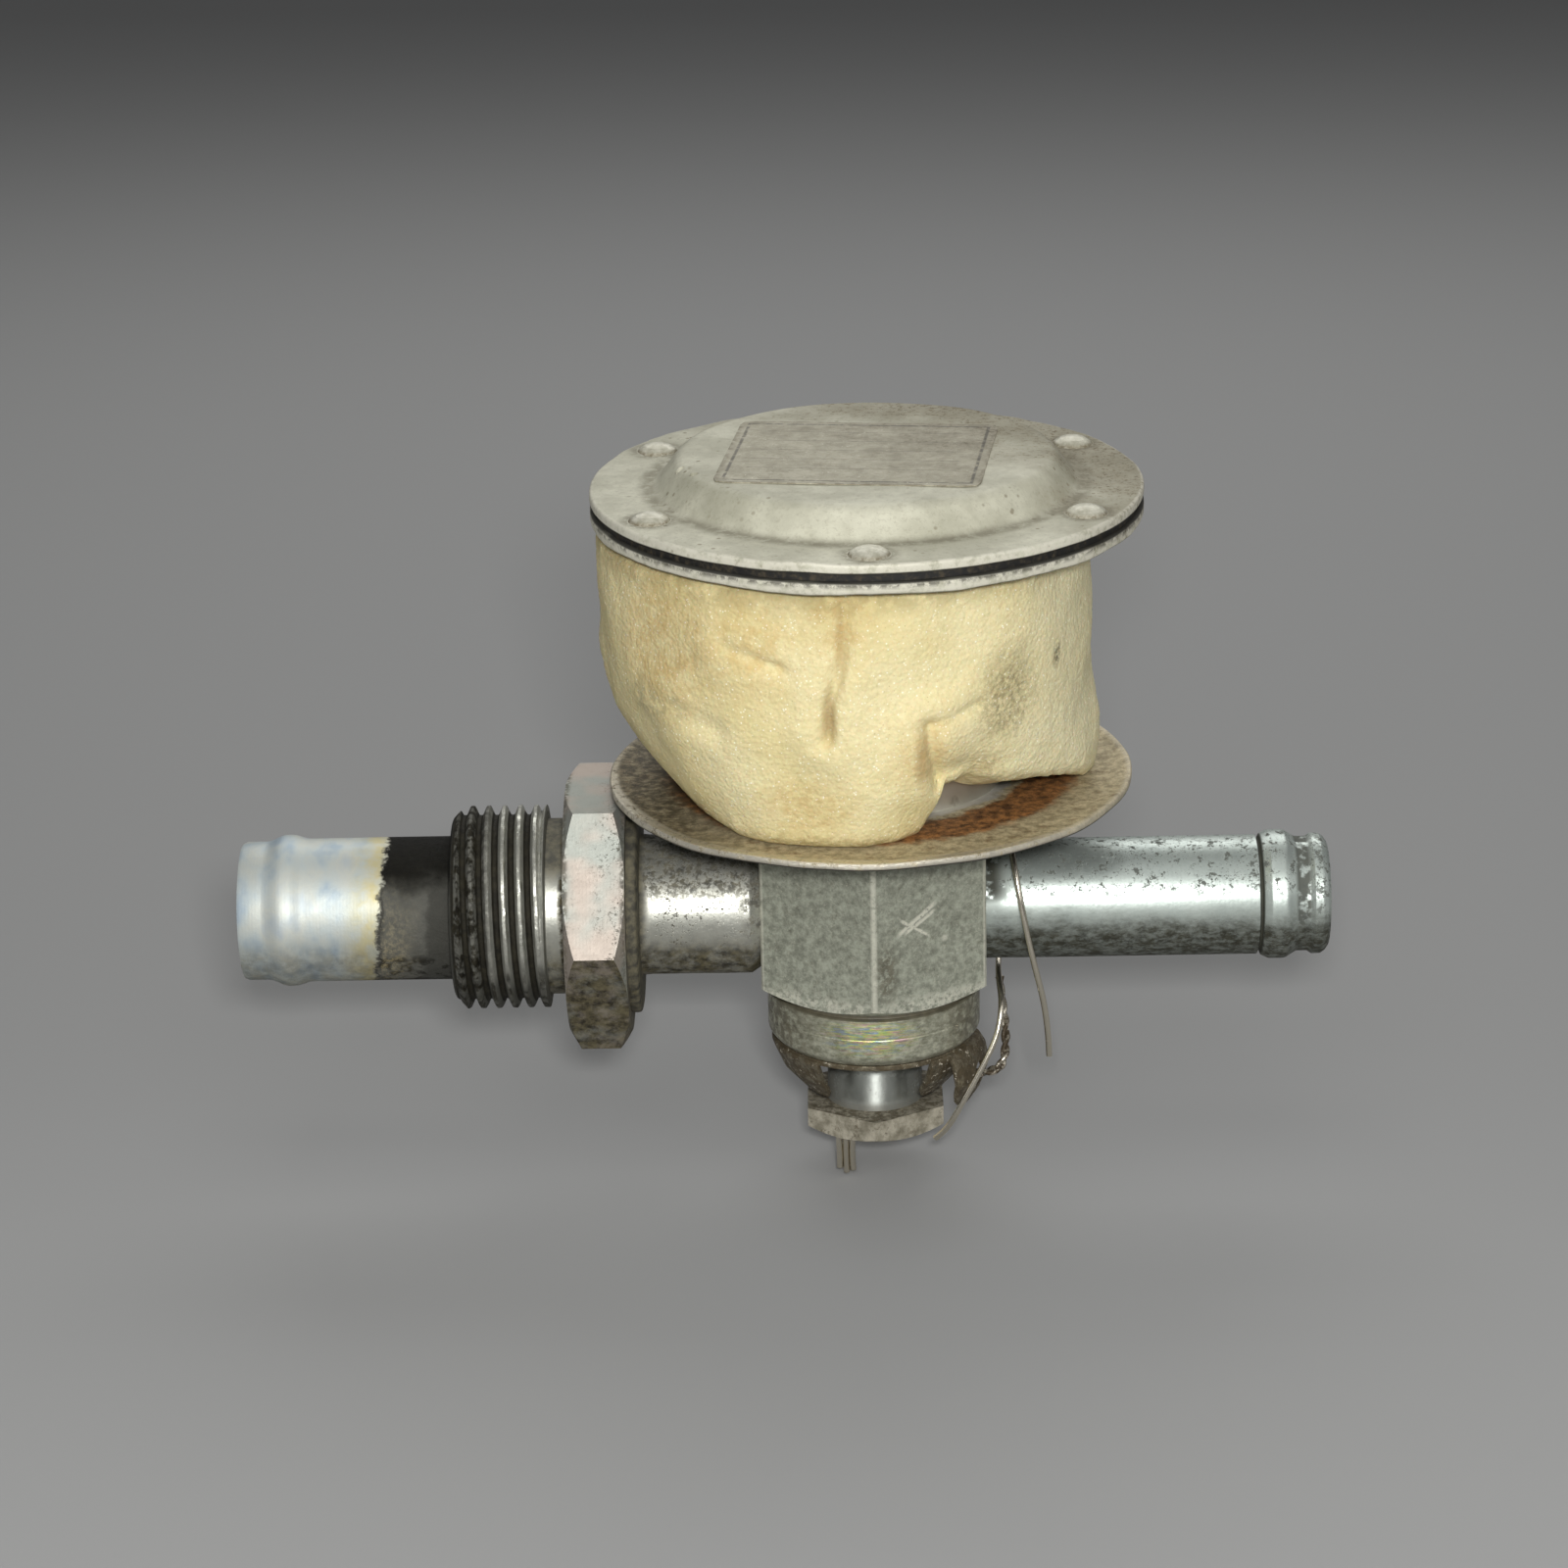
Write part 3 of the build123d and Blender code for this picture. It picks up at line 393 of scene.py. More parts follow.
def bar_zinc():
    """Valve body: dull grey plated hex bar with scratches, and a turned collar that shines more."""
    f = Finish("bar_zinc")
    collar = f.z.rise(-10.9, -11.4)
    mottled = f.mix(f.cloud(1.1, 5.0, 0.75).rise(0.3, 0.7), tint(122, 124, 110), tint(174, 177, 160))
    turned = f.cloud(0.9, 4.0, 0.75, stretch=(0.7, 0.7, 1.3)).rise(0.3, 0.7)
    bright = f.mix(turned, tint(146, 146, 126), tint(216, 216, 194))
    colour = f.mix(collar, mottled, bright)
    fleck = f.cloud(0.45, 3.0, 0.75, shift=(2, 2, 2)).rise(0.60, 0.68)
    colour = f.mix(fleck * 0.4, colour, tint(206, 204, 184))
    # Painted rainbow sheen in the middle of the collar, where fine turning lines break the light into
    # colours.
    sheen = f.patch((VALVE_X - 0.5, -COLLAR_RADIUS, -13.9), 5.0, 0.7, stretch=(1, 1, 2.2)) * collar
    sheen = sheen * f.cloud(0.5, 2.0, 0.6, stretch=(0.15, 0.15, 2.4), shift=(0, 0, 3)).rise(0.40, 0.56)
    hue = f.shades(
        f.cloud(1.0, 2.0, stretch=(0.4, 0.5, 2.4)), (0.38, tint(150, 178, 215)),
        (0.47, tint(190, 222, 110)), (0.55, tint(236, 218, 130)), (0.64, tint(218, 160, 180)))
    colour = f.mix(sheen * 0.75, colour, hue)

    # Rubbed corners of the bar, and three crossed scratches on its right front face.
    offset = f.x - VALVE_X
    away = f.radius(VALVE_LINE)
    rubbed = away.rise(16.86, 16.99) * (0.2 + f.cloud(0.8, 4.0, 0.7, shift=(4, 0, 1)).rise(0.34, 0.5) * 0.4)
    lower_edge = f.z.rise(-7.2, -9.2) * (1 - collar) * f.cloud(0.9, 4.0, 0.75).rise(0.40, 0.58)

    def scratch(x, z, slope, half_length, width):
        across = (f.z - z) - (offset - x) * slope
        wobble = (f.cloud(0.8, 3.0, 0.6) - 0.5) * 0.35
        line = abs(across + wobble).rise(width * 1.6, width * 0.4)
        span = abs(offset - x).rise(half_length * 1.2, half_length * 0.8)
        return line * span * f.y.rise(-6.0, -7.0) * f.cloud(0.4, 3.0, 0.7).rise(0.30, 0.48)

    scratches = scratch(5.6, 2.8, 0.69, 2.4, 0.34).most(scratch(6.0, 2.3, 0.60, 1.9, 0.26))
    scratches = scratches.most(scratch(5.4, 1.6, -0.79, 1.8, 0.24))
    scratches = scratches.most(f.patch((VALVE_X + 9.3, -11.8, -0.7), 0.4, 0.7) * 0.7)
    colour = f.mix(scratches.most(rubbed).most(lower_edge * 0.7) * 0.85, colour, tint(224, 222, 204))

    drawn = f.cloud(0.35, 3.0, 0.6, stretch=(1, 1, 0.08))
    rings = f.cloud(0.22, 3.0, 0.6, stretch=(0.04, 0.04, 1.4))
    grime = f.cloud(1.6, 5.0, 0.8, shift=(7, 7, 1)).rise(0.55, 0.70) * 0.55
    stain = f.patch((VALVE_X + 1.6, -15.9, -4.0), 2.4, 0.6, stretch=(1.6, 1, 0.6))
    stain = stain * f.cloud(0.9, 4.0, 0.7).rise(0.38, 0.56)
    grime = grime.most(stain * 0.75)
    # Painted shade down the left and right of the collar, with brown grime in it.
    left_shade_and_grime = offset.rise(-4.0, -12.0) * collar * f.cloud(1.2, 4.0, 0.7, shift=(1, 1, 9)).rise(0.34, 0.56)
    right_shade_and_grime = offset.rise(6.0, 12.0) * collar * f.cloud(1.1, 4.0, 0.7, shift=(2, 6, 9)).rise(0.34, 0.56)
    shade = f.z.rise(14.5, 16.8) * 0.85
    foot = f.z.rise(-16.9, -18.2) * f.cloud(1.1, 4.0).rise(0.36, 0.56) * 0.7
    # Painted shadow in the groove between the bar and the collar.
    step = f.z.rise(-10.45, -10.8) * f.z.rise(-12.2, -11.3)
    dirt = grime.most(shade).most(foot).most(step * 0.95)
    dirt = dirt.most(left_shade_and_grime * 0.85).most(right_shade_and_grime * 0.8).clamped()
    dirt = dirt * (1 - scratches * 0.8)
    colour = f.mix(dirt, colour, f.mix(f.cloud(1.1, 4.0), tint(44, 40, 30), tint(104, 96, 74)))
    worn = rubbed.most(scratches)
    roughness = f.mix(collar, 0.52 + f.cloud(1.2, 4.0) * 0.14 - worn * 0.16, 0.28 + rings * 0.24)
    relief = f.relief(
        (drawn * (1 - collar), 0.03, 0.5), (rings * collar, 0.05, 0.6),
        (f.cloud(0.6, 5.0, 0.75), 0.09, 0.65), (scratches, -0.06, 0.5))
    return f.done(colour, roughness, (0.38 + collar * 0.42) * (1 - dirt * 0.8), relief)


def cover_metal():
    """Spun cover and lower flange: grey sheet, dusty and speckled, bright where the rim is rubbed, with
    painted shade underneath and round the rivets.
    """
    f = Finish("cover_metal")
    side = f.cloud(11.0, 3.0, shift=(4, 1, 0))
    metal = f.mix(side.rise(0.35, 0.65), tint(180, 178, 158), tint(206, 204, 184))
    soft = f.cloud(2.2, 4.0, 0.7, shift=(7, 3, 1)).rise(0.35, 0.7)
    metal = f.mix(soft * 0.25, metal, tint(146, 142, 122))
    # The far right of the dome carries the most dust.
    dusty = (f.y * 0.5 + (f.x - VALVE_X) * 0.5 + (f.cloud(8.0, 4.0) - 0.5) * 34.0).rise(-3.0, 17.0)
    grain = f.cloud(0.6, 4.0, 0.75).rise(0.50, 0.68)
    flecks = f.cells(1.7, shift=(3, 3, 3)).rise(0.24, 0.1) * f.cloud(9.0, 3.0).rise(0.44, 0.6)
    dust = (dusty * (0.45 + grain * 0.5)).most(grain * 0.2).most(flecks * 0.6)
    from_axis = f.radius(VALVE_LINE)
    foot = from_axis.rise(26.6, 27.8) * from_axis.rise(30.0, 28.2)
    foot = foot * (0.3 + f.cloud(1.6, 4.0, 0.7).rise(0.36, 0.56) * 0.7)
    spots = [rivet_spot(index) for index in range(RIVET_COUNT)]
    # Painted shade, with some dirt, in a ring round each rivet head.
    rings = [f.patch(spot, 3.6, 0.25) - f.patch(spot, 2.75, 0.06) for spot in spots]
    rivet_shade_and_dirt = rings[0]
    for ring in rings[1:]:
        rivet_shade_and_dirt = rivet_shade_and_dirt.most(ring)
    rivet_shade_and_dirt = rivet_shade_and_dirt * f.cloud(1.0, 4.0, 0.7, shift=(1, 1, 5)).rise(0.3, 0.55)
    rim = from_axis.rise(35.1, 35.5) * f.cloud(1.1, 4.0, 0.7).rise(0.35, 0.55)
    seam = f.z.rise(55.3, 55.6) * f.z.rise(57.05, 56.8)
    brown = f.mix(f.cloud(2.0, 4.0), tint(80, 67, 44), tint(126, 110, 80))
    colour = f.mix(dust, metal, brown)
    colour = f.mix((foot * 0.5).most(rivet_shade_and_dirt * 0.6), colour, tint(104, 96, 76))
    colour = f.mix(rim * 0.7, colour, tint(216, 212, 196))
    # Oily seam between the two flanges, a little of it creeping over the lower edge.
    lower_edge = f.z.rise(54.6, 55.4) * f.z.rise(56.9, 56.6)
    creeping = lower_edge * f.cloud(1.7, 5.0, 0.8, shift=(6, 6, 6)).rise(0.42, 0.56) * (1 - seam)
    colour = f.mix(seam * 0.94, colour, tint(14, 12, 9))
    colour = f.mix(creeping * 0.75, colour, tint(36, 31, 22))
    # Painted shade on the downward faces.
    under = f.facing_up().rise(-0.3, -0.8)
    colour = f.mix(under * 0.6, colour, tint(78, 72, 56))
    matt = dust.most(seam).most(foot * 0.6)
    relief = f.relief(
        (f.cloud(0.3, 4.0, 0.6), 0.03, 0.4), (f.cloud(2.4, 4.0, 0.6), 0.08, 0.3), (dust, 0.05, 0.5))
    roughness = (0.52 + f.cloud(3.0, 4.0) * 0.12 + matt * 0.3).clamped()
    return f.done(colour, roughness, 0.18 - matt * 0.15, relief, IOR=1.35)


def rivet_metal():
    """Rivet heads: pale rubbed metal with dust and painted shade at the foot."""
    f = Finish("rivet_metal")
    colour = f.mix(f.cloud(1.0, 4.0, 0.7).rise(0.3, 0.7), tint(176, 173, 153), tint(208, 205, 188))
    # Dust and painted shade darken the foot of each head.
    dust = f.z.rise(58.7, 58.2) * (0.4 + f.cloud(0.7, 4.0, 0.7, shift=(3, 0, 0)).rise(0.4, 0.6) * 0.5)
    colour = f.mix(dust, colour, tint(112, 102, 80))
    relief = f.relief((f.cloud(0.5, 4.0, 0.6), 0.04, 0.4))
    return f.done(colour, 0.46 + dust * 0.3, 0.35 - dust * 0.3, relief)


def foil():
    """Name plate: thin worn foil, left bare but for a faint border and ruled lines."""
    f = Finish("foil")
    turn = radians(LABEL_TURN)
    x = f.x - (VALVE_X + LABEL_X)
    y = f.y - LABEL_Y
    right = x * cos(turn) - y * sin(turn)
    up = x * sin(turn) + y * cos(turn)
    metal = f.mix(f.cloud(3.2, 5.0, 0.7).rise(0.3, 0.7), tint(148, 143, 122), tint(178, 173, 152))
    across = abs(right)
    beside = abs(up)
    frame_line = across.rise(15.4, 15.6) * across.rise(16.0, 15.8) * beside.rise(13.2, 13.0)
    frame_line = frame_line.most(beside.rise(12.6, 12.8) * beside.rise(13.2, 13.0) * across.rise(16.0, 15.8))
    row_height = 4.2
    rows = (up * (2 * pi / row_height)).wave().rise(0.975, 0.995)
    rows = rows * across.rise(13.6, 13.2) * beside.rise(11.0, 10.6)
    worn = f.cloud(1.5, 4.0, 0.7, shift=(2, 8, 1)).rise(0.34, 0.52)
    marks = frame_line.most(rows * 0.5) * worn
    dusty = (right * 0.5 + up * 0.45 + (f.cloud(6.0, 4.0) - 0.5) * 30.0).rise(-6.0, 22.0)
    grain = f.cloud(0.6, 4.0, 0.75).rise(0.48, 0.66)
    glints = f.cloud(0.8, 3.0, 0.8, shift=(9, 1, 4)).rise(0.62, 0.70)
    edge = across.rise(15.9, 16.9).most(beside.rise(13.3, 14.1)) * f.cloud(1.0, 4.0).rise(0.35, 0.6)
    dust = (dusty * (0.4 + grain * 0.5)).most(grain * 0.2).most(edge * 0.5)
    colour = f.mix(dust, metal, tint(92, 79, 56))
    colour = f.mix(marks * 0.7, colour, tint(50, 45, 36))
    colour = f.mix(glints * (1 - dusty) * 0.6, colour, tint(214, 210, 190))
    relief = f.relief((f.cloud(4.0, 3.0), 0.25, 0.4), (grain, 0.03, 0.5), (marks, -0.02, 0.5))
    roughness = (0.42 + f.cloud(1.5, 4.0) * 0.2 + dust * 0.3).clamped()
    return f.done(colour, roughness, 0.35 - dust * 0.3, relief)


def plate_metal():
    """Filter plate: corroded sheet with a rubbed bright rim that carries a painted highlight at the front,
    painted shade underneath, and the foam's brown footprint.
    """
    f = Finish("plate_metal")
    metal = f.mix(f.cloud(1.4, 5.0, 0.75).rise(0.3, 0.7), tint(134, 123, 94), tint(206, 192, 157))
    white = f.cloud(1.7, 4.0, 0.8, shift=(5, 2, 2)).rise(0.58, 0.70)
    colour = f.mix(white * 0.6, metal, tint(200, 188, 158))
    rust = f.cloud(1.9, 5.0, 0.75, shift=(1, 9, 4)).rise(0.53, 0.68)
    colour = f.mix(rust * 0.6, colour, tint(108, 76, 40))
    top = f.facing_up().rise(0.5, 0.9)
    from_axis = f.radius(VALVE_LINE) + (f.cloud(2.0, 4.0) - 0.5) * 3.0
    footprint = from_axis.rise(19.6, 20.6) * from_axis.rise(27.8, 25.8)
    dark = f.cloud(1.3, 5.0, 0.75, shift=(8, 8, 8)).rise(0.34, 0.7)
    print_colour = f.mix(dark, tint(72, 42, 16), tint(186, 130, 74))
    colour = f.mix(footprint * top * 0.95, colour, print_colour)
    clean = from_axis.rise(19.4, 18.4) * top
    colour = f.mix(clean, colour, tint(206, 202, 190))
    true_radius = f.radius(VALVE_LINE)
    # The rim is rubbed bright, and a painted highlight brightens it most at the front.
    front = (f.y * -0.6 - (f.x - VALVE_X) * 0.25).rise(2.0, 18.0)
    rim = (true_radius + front * 1.2).rise(33.2, 34.1) * f.cloud(1.0, 4.0, 0.75).rise(0.3, 0.5)
    rim = rim * (0.35 + front * 0.65)
    colour = f.mix(rim * 0.9, colour, tint(228, 222, 206))
    blotches = f.cloud(1.6, 4.0, 0.75, shift=(2, 6, 6)).rise(0.35, 0.6)
    left_stain = (f.x - VALVE_X).rise(-12.0, -28.0) * (0.4 + blotches * 0.5)
    colour = f.mix(left_stain * (1 - rim), colour, tint(58, 50, 34))
    # Painted shade: the underside is nearly black.
    under = f.facing_up().rise(0.05, -0.4)
    colour = f.mix(under * 0.92, colour, tint(20, 18, 13))
    bare = rim.most(clean * 0.5)
    relief = f.relief((f.cloud(0.8, 5.0, 0.75), 0.22, 0.7), (f.cloud(3.5, 3.0), 0.3, 0.4))
    return f.done(colour, 0.6 - bare * 0.22, 0.25 + bare * 0.6, relief)


# Stains of the foam, and one band of painted shade: place from the valve axis, size, strength, colour,
# stretch, and size of its blotches.
FOAM_STAINS = (
    (-26.0, -22.0, 44.0, 8.0, 0.55, (176, 140, 74), (1, 1, 1), 2.4),
    (-14.0, -28.0, 45.5, 6.0, 0.45, (196, 158, 88), (1, 1, 1), 2.0),
    (-4.0, -31.0, 50.0, 4.0, 0.4, (186, 146, 82), (1, 1, 0.7), 1.6),
    # A grey band of painted shade, where the foam's left side turns away.
    (-27.5, -20.5, 35.5, 5.5, 0.5, (112, 104, 76), (1, 1, 2.2), 2.2),
    (-8.0, -29.0, 24.5, 5.5, 0.42, (180, 138, 74), (1, 1, 1.5), 1.2),
    (7.0, -29.5, 31.5, 4.5, 0.35, (198, 152, 84), (1, 1, 1), 1.6),
    (16.9, -24.3, 36.6, 4.2, 0.62, (96, 80, 44), (0.8, 1, 0.8), 0.7),
    (17.0, -24.0, 40.5, 3.4, 0.3, (100, 90, 58), (1, 1, 1), 0.6),
    (23.2, -17.6, 40.4, 0.9, 0.95, (52, 46, 28), (1, 1, 0.5), 0.6),
    (15.0, -26.0, 27.0, 3.4, 0.7, (92, 70, 36), (1, 1, 1.6), 0.8),
    (-21.0, -17.0, 18.5, 4.0, 0.8, (96, 62, 28), (1, 1, 1), 1.6),
)


def open_foam():
    """Filter sleeve: pale yellow open-cell foam with stains and dirt, painted shadows and glints in its
    cells, and painted shade in its creases and on its left.
    """
    f = Finish("open_foam")
    broad = f.cloud(14.0, 3.0, 0.5)
    colour = f.mix(broad.rise(0.3, 0.7), tint(222, 207, 152), tint(233, 221, 174))
    pale = (f.x - VALVE_X).rise(8.0, 26.0)
    colour = f.mix(pale * 0.6, colour, tint(222, 216, 182))
    # Painted shade: the foam darkens to the left, where its side turns away.
    left = (f.x - VALVE_X).rise(-12.0, -30.0)
    colour = f.mix(left * 0.4, colour, tint(196, 180, 130))
    pores = f.cells(0.55)
    glints = f.cells(0.5, shift=(4, 4, 4)).rise(0.30, 0.14) * f.cloud(0.6, 2.0).rise(0.48, 0.58)
    mottle = f.cloud(0.7, 4.0, 0.8).rise(0.35, 0.68)
    colour = f.mix(mottle * 0.3, colour, tint(196, 178, 118))
    shadows = f.cells(0.5, shift=(1, 6, 2)).rise(0.22, 0.08)
    shadows = shadows * f.cloud(1.2, 3.0, 0.7, shift=(5, 5, 5)).rise(0.44, 0.58)
    colour = f.mix(shadows * 0.5, colour, tint(164, 142, 88))
    colour = f.mix(glints * 0.85, colour, tint(255, 252, 232))

    # Painted shade, brown like the foam's dirt, lies in the two creases of the front and in the fold.
    crease = f.patch((VALVE_X - 5.2, -31.2, 37.0), 0.75, 0.8, (1, 0.3, 0.22)).most(
        f.patch((VALVE_X - 3.6, -31.4, 46.5), 0.6, 0.8, (1, 0.3, 0.11)) * 0.6)
    colour = f.mix(crease * 0.62, colour, tint(146, 112, 64))
    fold_shade = f.patch((VALVE_X + 6.2, -29.8, 30.5), 0.8, 0.8, (1, 0.3, 0.24))
    colour = f.mix(fold_shade * 0.55, colour, tint(146, 114, 66))

    for x, y, z, size, strength, shade, stretch, breakup in FOAM_STAINS:
        centre = (VALVE_X + x, y, z)
        spread = f.patch(centre, size, 0.6, stretch)
        spread = spread * f.cloud(breakup, 5.0, 0.75, shift=centre).rise(0.34, 0.66)
        colour = f.mix(spread * strength, colour, tint(*shade))
    low = f.z.rise(21.5, 18.6) * f.cloud(1.4, 5.0, 0.7).rise(0.35, 0.65)
    colour = f.mix(low * 0.6, colour, tint(140, 116, 64))
    high = f.z.rise(49.0, 53.0) * f.cloud(2.5, 4.0).rise(0.30, 0.55)
    colour = f.mix(high * 0.45, colour, tint(136, 116, 70))
    relief = f.relief(
        (pores, -0.16, 0.6), (f.cloud(0.45, 4.0, 0.8), 0.16, 0.6), (f.cloud(3.0, 3.0), 0.2, 0.3))
    return f.done(colour, 0.95, 0.0, relief, Subsurface_Weight=0.12, Subsurface_Scale=0.0015)


def head_metal():
    """Screw head: worn plating under brown stains."""
    f = Finish("head_metal")
    colour = f.mix(f.cloud(2.2, 5.0, 0.7).rise(0.3, 0.7), tint(134, 128, 110), tint(200, 193, 174))
    stains = f.cloud(1.5, 5.0, 0.75, shift=(4, 4, 4)).rise(0.52, 0.68) * 0.85
    top = f.facing_up().rise(0.6, 0.9) * (0.3 + f.cloud(1.1, 4.0, 0.7, shift=(0, 9, 3)).rise(0.4, 0.6) * 0.6)
    dirt = stains.most(top).clamped()
    colour = f.mix(dirt, colour, f.mix(f.cloud(1.0, 4.0), tint(38, 33, 23), tint(98, 87, 63)))
    relief = f.relief((f.cloud(0.7, 5.0, 0.7), 0.1, 0.6), (dirt, 0.06, 0.5))
    roughness = (0.48 + f.cloud(1.6, 4.0) * 0.1 + dirt * 0.34).clamped()
    return f.done(colour, roughness, 0.5 - dirt * 0.4, relief)


def shank_metal():
    """Screw shank: turned steel, whose fine rings draw the light out along the axis."""
    f = Finish("shank_metal")
    colour = f.mix(f.cloud(1.5, 4.0, 0.6, stretch=(1, 1, 0.4)), tint(172, 176, 170), tint(222, 226, 218))
    stains = f.cloud(1.5, 5.0, 0.75, shift=(4, 4, 4)).rise(0.54, 0.68) * 0.5
    # Painted shade down the shank's sides, a painted shadow of the collar at its top, and painted shade
    # round its foot above the head.
    side_shade = abs(f.x - VALVE_X).rise(3.6, 6.0) * 0.7 * f.cloud(1.0, 4.0, 0.7).rise(0.3, 0.5)
    ring = f.z.rise(-26.2, -27.7) * 0.7
    top = f.z.rise(-20.4, -18.6) * 0.9
    dirt = stains.most(side_shade).most(ring).most(top).clamped()
    colour = f.mix(dirt, colour, f.mix(f.cloud(1.0, 4.0), tint(38, 33, 23), tint(98, 87, 63)))
    relief = f.relief((f.cloud(0.7, 5.0, 0.7), 0.05, 0.4))
    return f.done(
        colour, (0.42 + dirt * 0.3).clamped(), 1 - dirt * 0.8, relief, Anisotropic=0.85,
        Anisotropic_Rotation=0.25)


def washer_metal():
    """Lock washer: thin plated sheet under oily grime, with rubbed spots."""
    f = Finish("washer_metal")
    metal = f.mix(f.cloud(1.3, 5.0, 0.7), tint(92, 84, 66), tint(168, 160, 138))
    dirt = f.cloud(1.5, 5.0, 0.75, shift=(6, 1, 1)).rise(0.34, 0.54)
    colour = f.mix(dirt * 0.92, metal, f.mix(f.cloud(0.9, 4.0), tint(32, 27, 17), tint(98, 84, 58)))
    rubbed = f.cloud(0.9, 3.0, 0.7, shift=(3, 8, 8)).rise(0.62, 0.68)
    colour = f.mix(rubbed * 0.85, colour, tint(226, 218, 198))
    relief = f.relief((f.cloud(0.7, 5.0, 0.75), 0.25, 0.8))
    return f.done(colour, 0.36 + dirt * 0.3, 0.9 - dirt * 0.6, relief)


def wire_metal(name, grime):
    """Safety wire: bright drawn steel, dirty where it is twisted."""
    f = Finish(name)
    dirt = f.cloud(1.3, 4.0, 0.7).rise(0.72 - grime * 0.45, 0.86 - grime * 0.4)
    colour = f.mix(dirt, tint(214, 207, 190), tint(66, 55, 38))
    relief = f.relief((f.cloud(0.4, 3.0), 0.03, 0.5))
    return f.done(colour, 0.24 + dirt * 0.4, 1 - dirt * 0.6, relief)


def turned_metal(name, dark, light, rough):
    """Inner pieces: clean machined metal with fine turning marks and a little oil."""
    f = Finish(name)
    colour = f.mix(f.cloud(4.0, 4.0), tint(*dark), tint(*light))
    rings = f.cloud(0.25, 2.0, 0.5, stretch=(0.1, 0.1, 1.0))
    oil = f.cloud(3.0, 4.0, 0.6, shift=(2, 2, 9)).rise(0.58, 0.74)
    colour = f.mix(oil * 0.4, colour, tint(96, 82, 52))
    relief = f.relief((rings, 0.02, 0.4), (f.cloud(0.7, 4.0), 0.02, 0.4))
    return f.done(colour, rough + f.cloud(1.5, 3.0) * 0.12, 1.0, relief)


def old_rubber():
    """Diaphragm and seals: black rubber with a grey bloom."""
    f = Finish("old_rubber")
    bloom = f.cloud(1.2, 5.0, 0.75).rise(0.45, 0.72)
    colour = f.mix(bloom * 0.7, tint(16, 15, 12), tint(84, 74, 55))
    return f.done(colour, 0.62 + bloom * 0.2, 0.0, f.relief((f.cloud(0.5, 4.0, 0.7), 0.06, 0.6)))


# Mesh work

def clear_selection():
    if bpy.context.object and bpy.context.object.mode != "OBJECT":
        bpy.ops.object.mode_set(mode="OBJECT")
    bpy.ops.object.select_all(action="DESELECT")


def choose(piece):
    clear_selection()
    piece.select_set(True)
    bpy.context.view_layer.objects.active = piece


def in_metres(spot):
    return Vector(spot) * MM


def eased(points, rounding=0.3, steps=3, closed=True):
    """Rounds the corners of an outline. A point may carry its own rounding as a third value."""
    result = []
    count = len(points)
    for index, point in enumerate(points):
        wanted = point[2] if len(point) > 2 else rounding
        corner = Vector(point[:2])
        ends = not closed and index in (0, count - 1)
        before = Vector(points[index - 1][:2]) - corner
        after = Vector(points[(index + 1) % count][:2]) - corner
        if ends or wanted <= 0 or min(before.length, after.length) < 1e-6:
            result.append(tuple(corner))
            continue
        turn = pi - before.angle(after)
        if turn < radians(4) or turn > radians(176):
            result.append(tuple(corner))
            continue
        reach = min(wanted * tan(turn / 2), 0.45 * before.length, 0.45 * after.length)
        start = corner + before.normalized() * reach
        end = corner + after.normalized() * reach
        for step in range(steps + 1):
            share = step / steps
            result.append(tuple(start.lerp(corner, share).lerp(corner.lerp(end, share), share)))
    return result


def spun(name, outline, line, steps=128, closed=True):
    """Draws an outline of (along, radius) points and spins it about the hose line or the valve line."""
    centre, along, out = line
    spots = [in_metres(centre + along * a + out * r) for a, r in outline]
    if closed:
        spots.append(spots[0])
    clear_selection()
    bpy.ops.mesh.primitive_plane_add(size=MM, location=(0, 0, 0))
    piece = bpy.context.object
    piece.name = name
    bpy.ops.object.mode_set(mode="EDIT")
    bpy.ops.mesh.select_all(action="SELECT")
    bpy.ops.mesh.merge(type="CENTER")
    bpy.ops.transform.translate(value=spots[0])
    for before, after in zip(spots, spots[1:]):
        bpy.ops.mesh.extrude_region_move(TRANSFORM_OT_translate={"value": after - before})
    bpy.ops.mesh.select_all(action="SELECT")
    bpy.ops.mesh.spin(steps=steps, angle=2 * pi, center=in_metres(centre), axis=along)
    bpy.ops.mesh.select_all(action="SELECT")
    bpy.ops.mesh.remove_doubles(threshold=MERGE_DISTANCE)
    bpy.ops.mesh.normals_make_consistent(inside=False)
    bpy.ops.object.mode_set(mode="OBJECT")
    return piece


def modified(piece, kind, **settings):
    """Adds a modifier and applies it."""
    choose(piece)
    modifier = piece.modifiers.new(kind.lower(), kind)
    for name, value in settings.items():
        setattr(modifier, name, value)
    bpy.ops.object.modifier_apply(modifier=modifier.name)
    return piece


def cut(piece, tool, operation="DIFFERENCE"):
    modified(piece, "BOOLEAN", operation=operation, solver="EXACT", object=tool)
    bpy.data.objects.remove(tool)
    return piece


def without_slivers(piece):
    """Dissolves the needle-thin faces that a bevel leaves where a hex meets its turned cone."""
    choose(piece)
    bpy.ops.object.mode_set(mode="EDIT")
    bpy.ops.mesh.select_all(action="SELECT")
    bpy.ops.mesh.dissolve_degenerate(threshold=0.002 * MM)
    bpy.ops.object.mode_set(mode="OBJECT")


def bevelled(piece, width, smallest_angle):
    """Rounds the edges that are sharper than the angle."""
    return modified(
        piece, "BEVEL", width=width * MM, segments=2, limit_method="ANGLE",
        angle_limit=radians(smallest_angle))


def bore(radius, low, high, line=HOSE_LINE):
    """A plain cylinder along a line, for cutting a hole."""
    return spun("bore", [(low, 0), (low, radius), (high, radius), (high, 0)], line)


def corner_radius(across_flats):
    return across_flats / 2 / cos(radians(30))


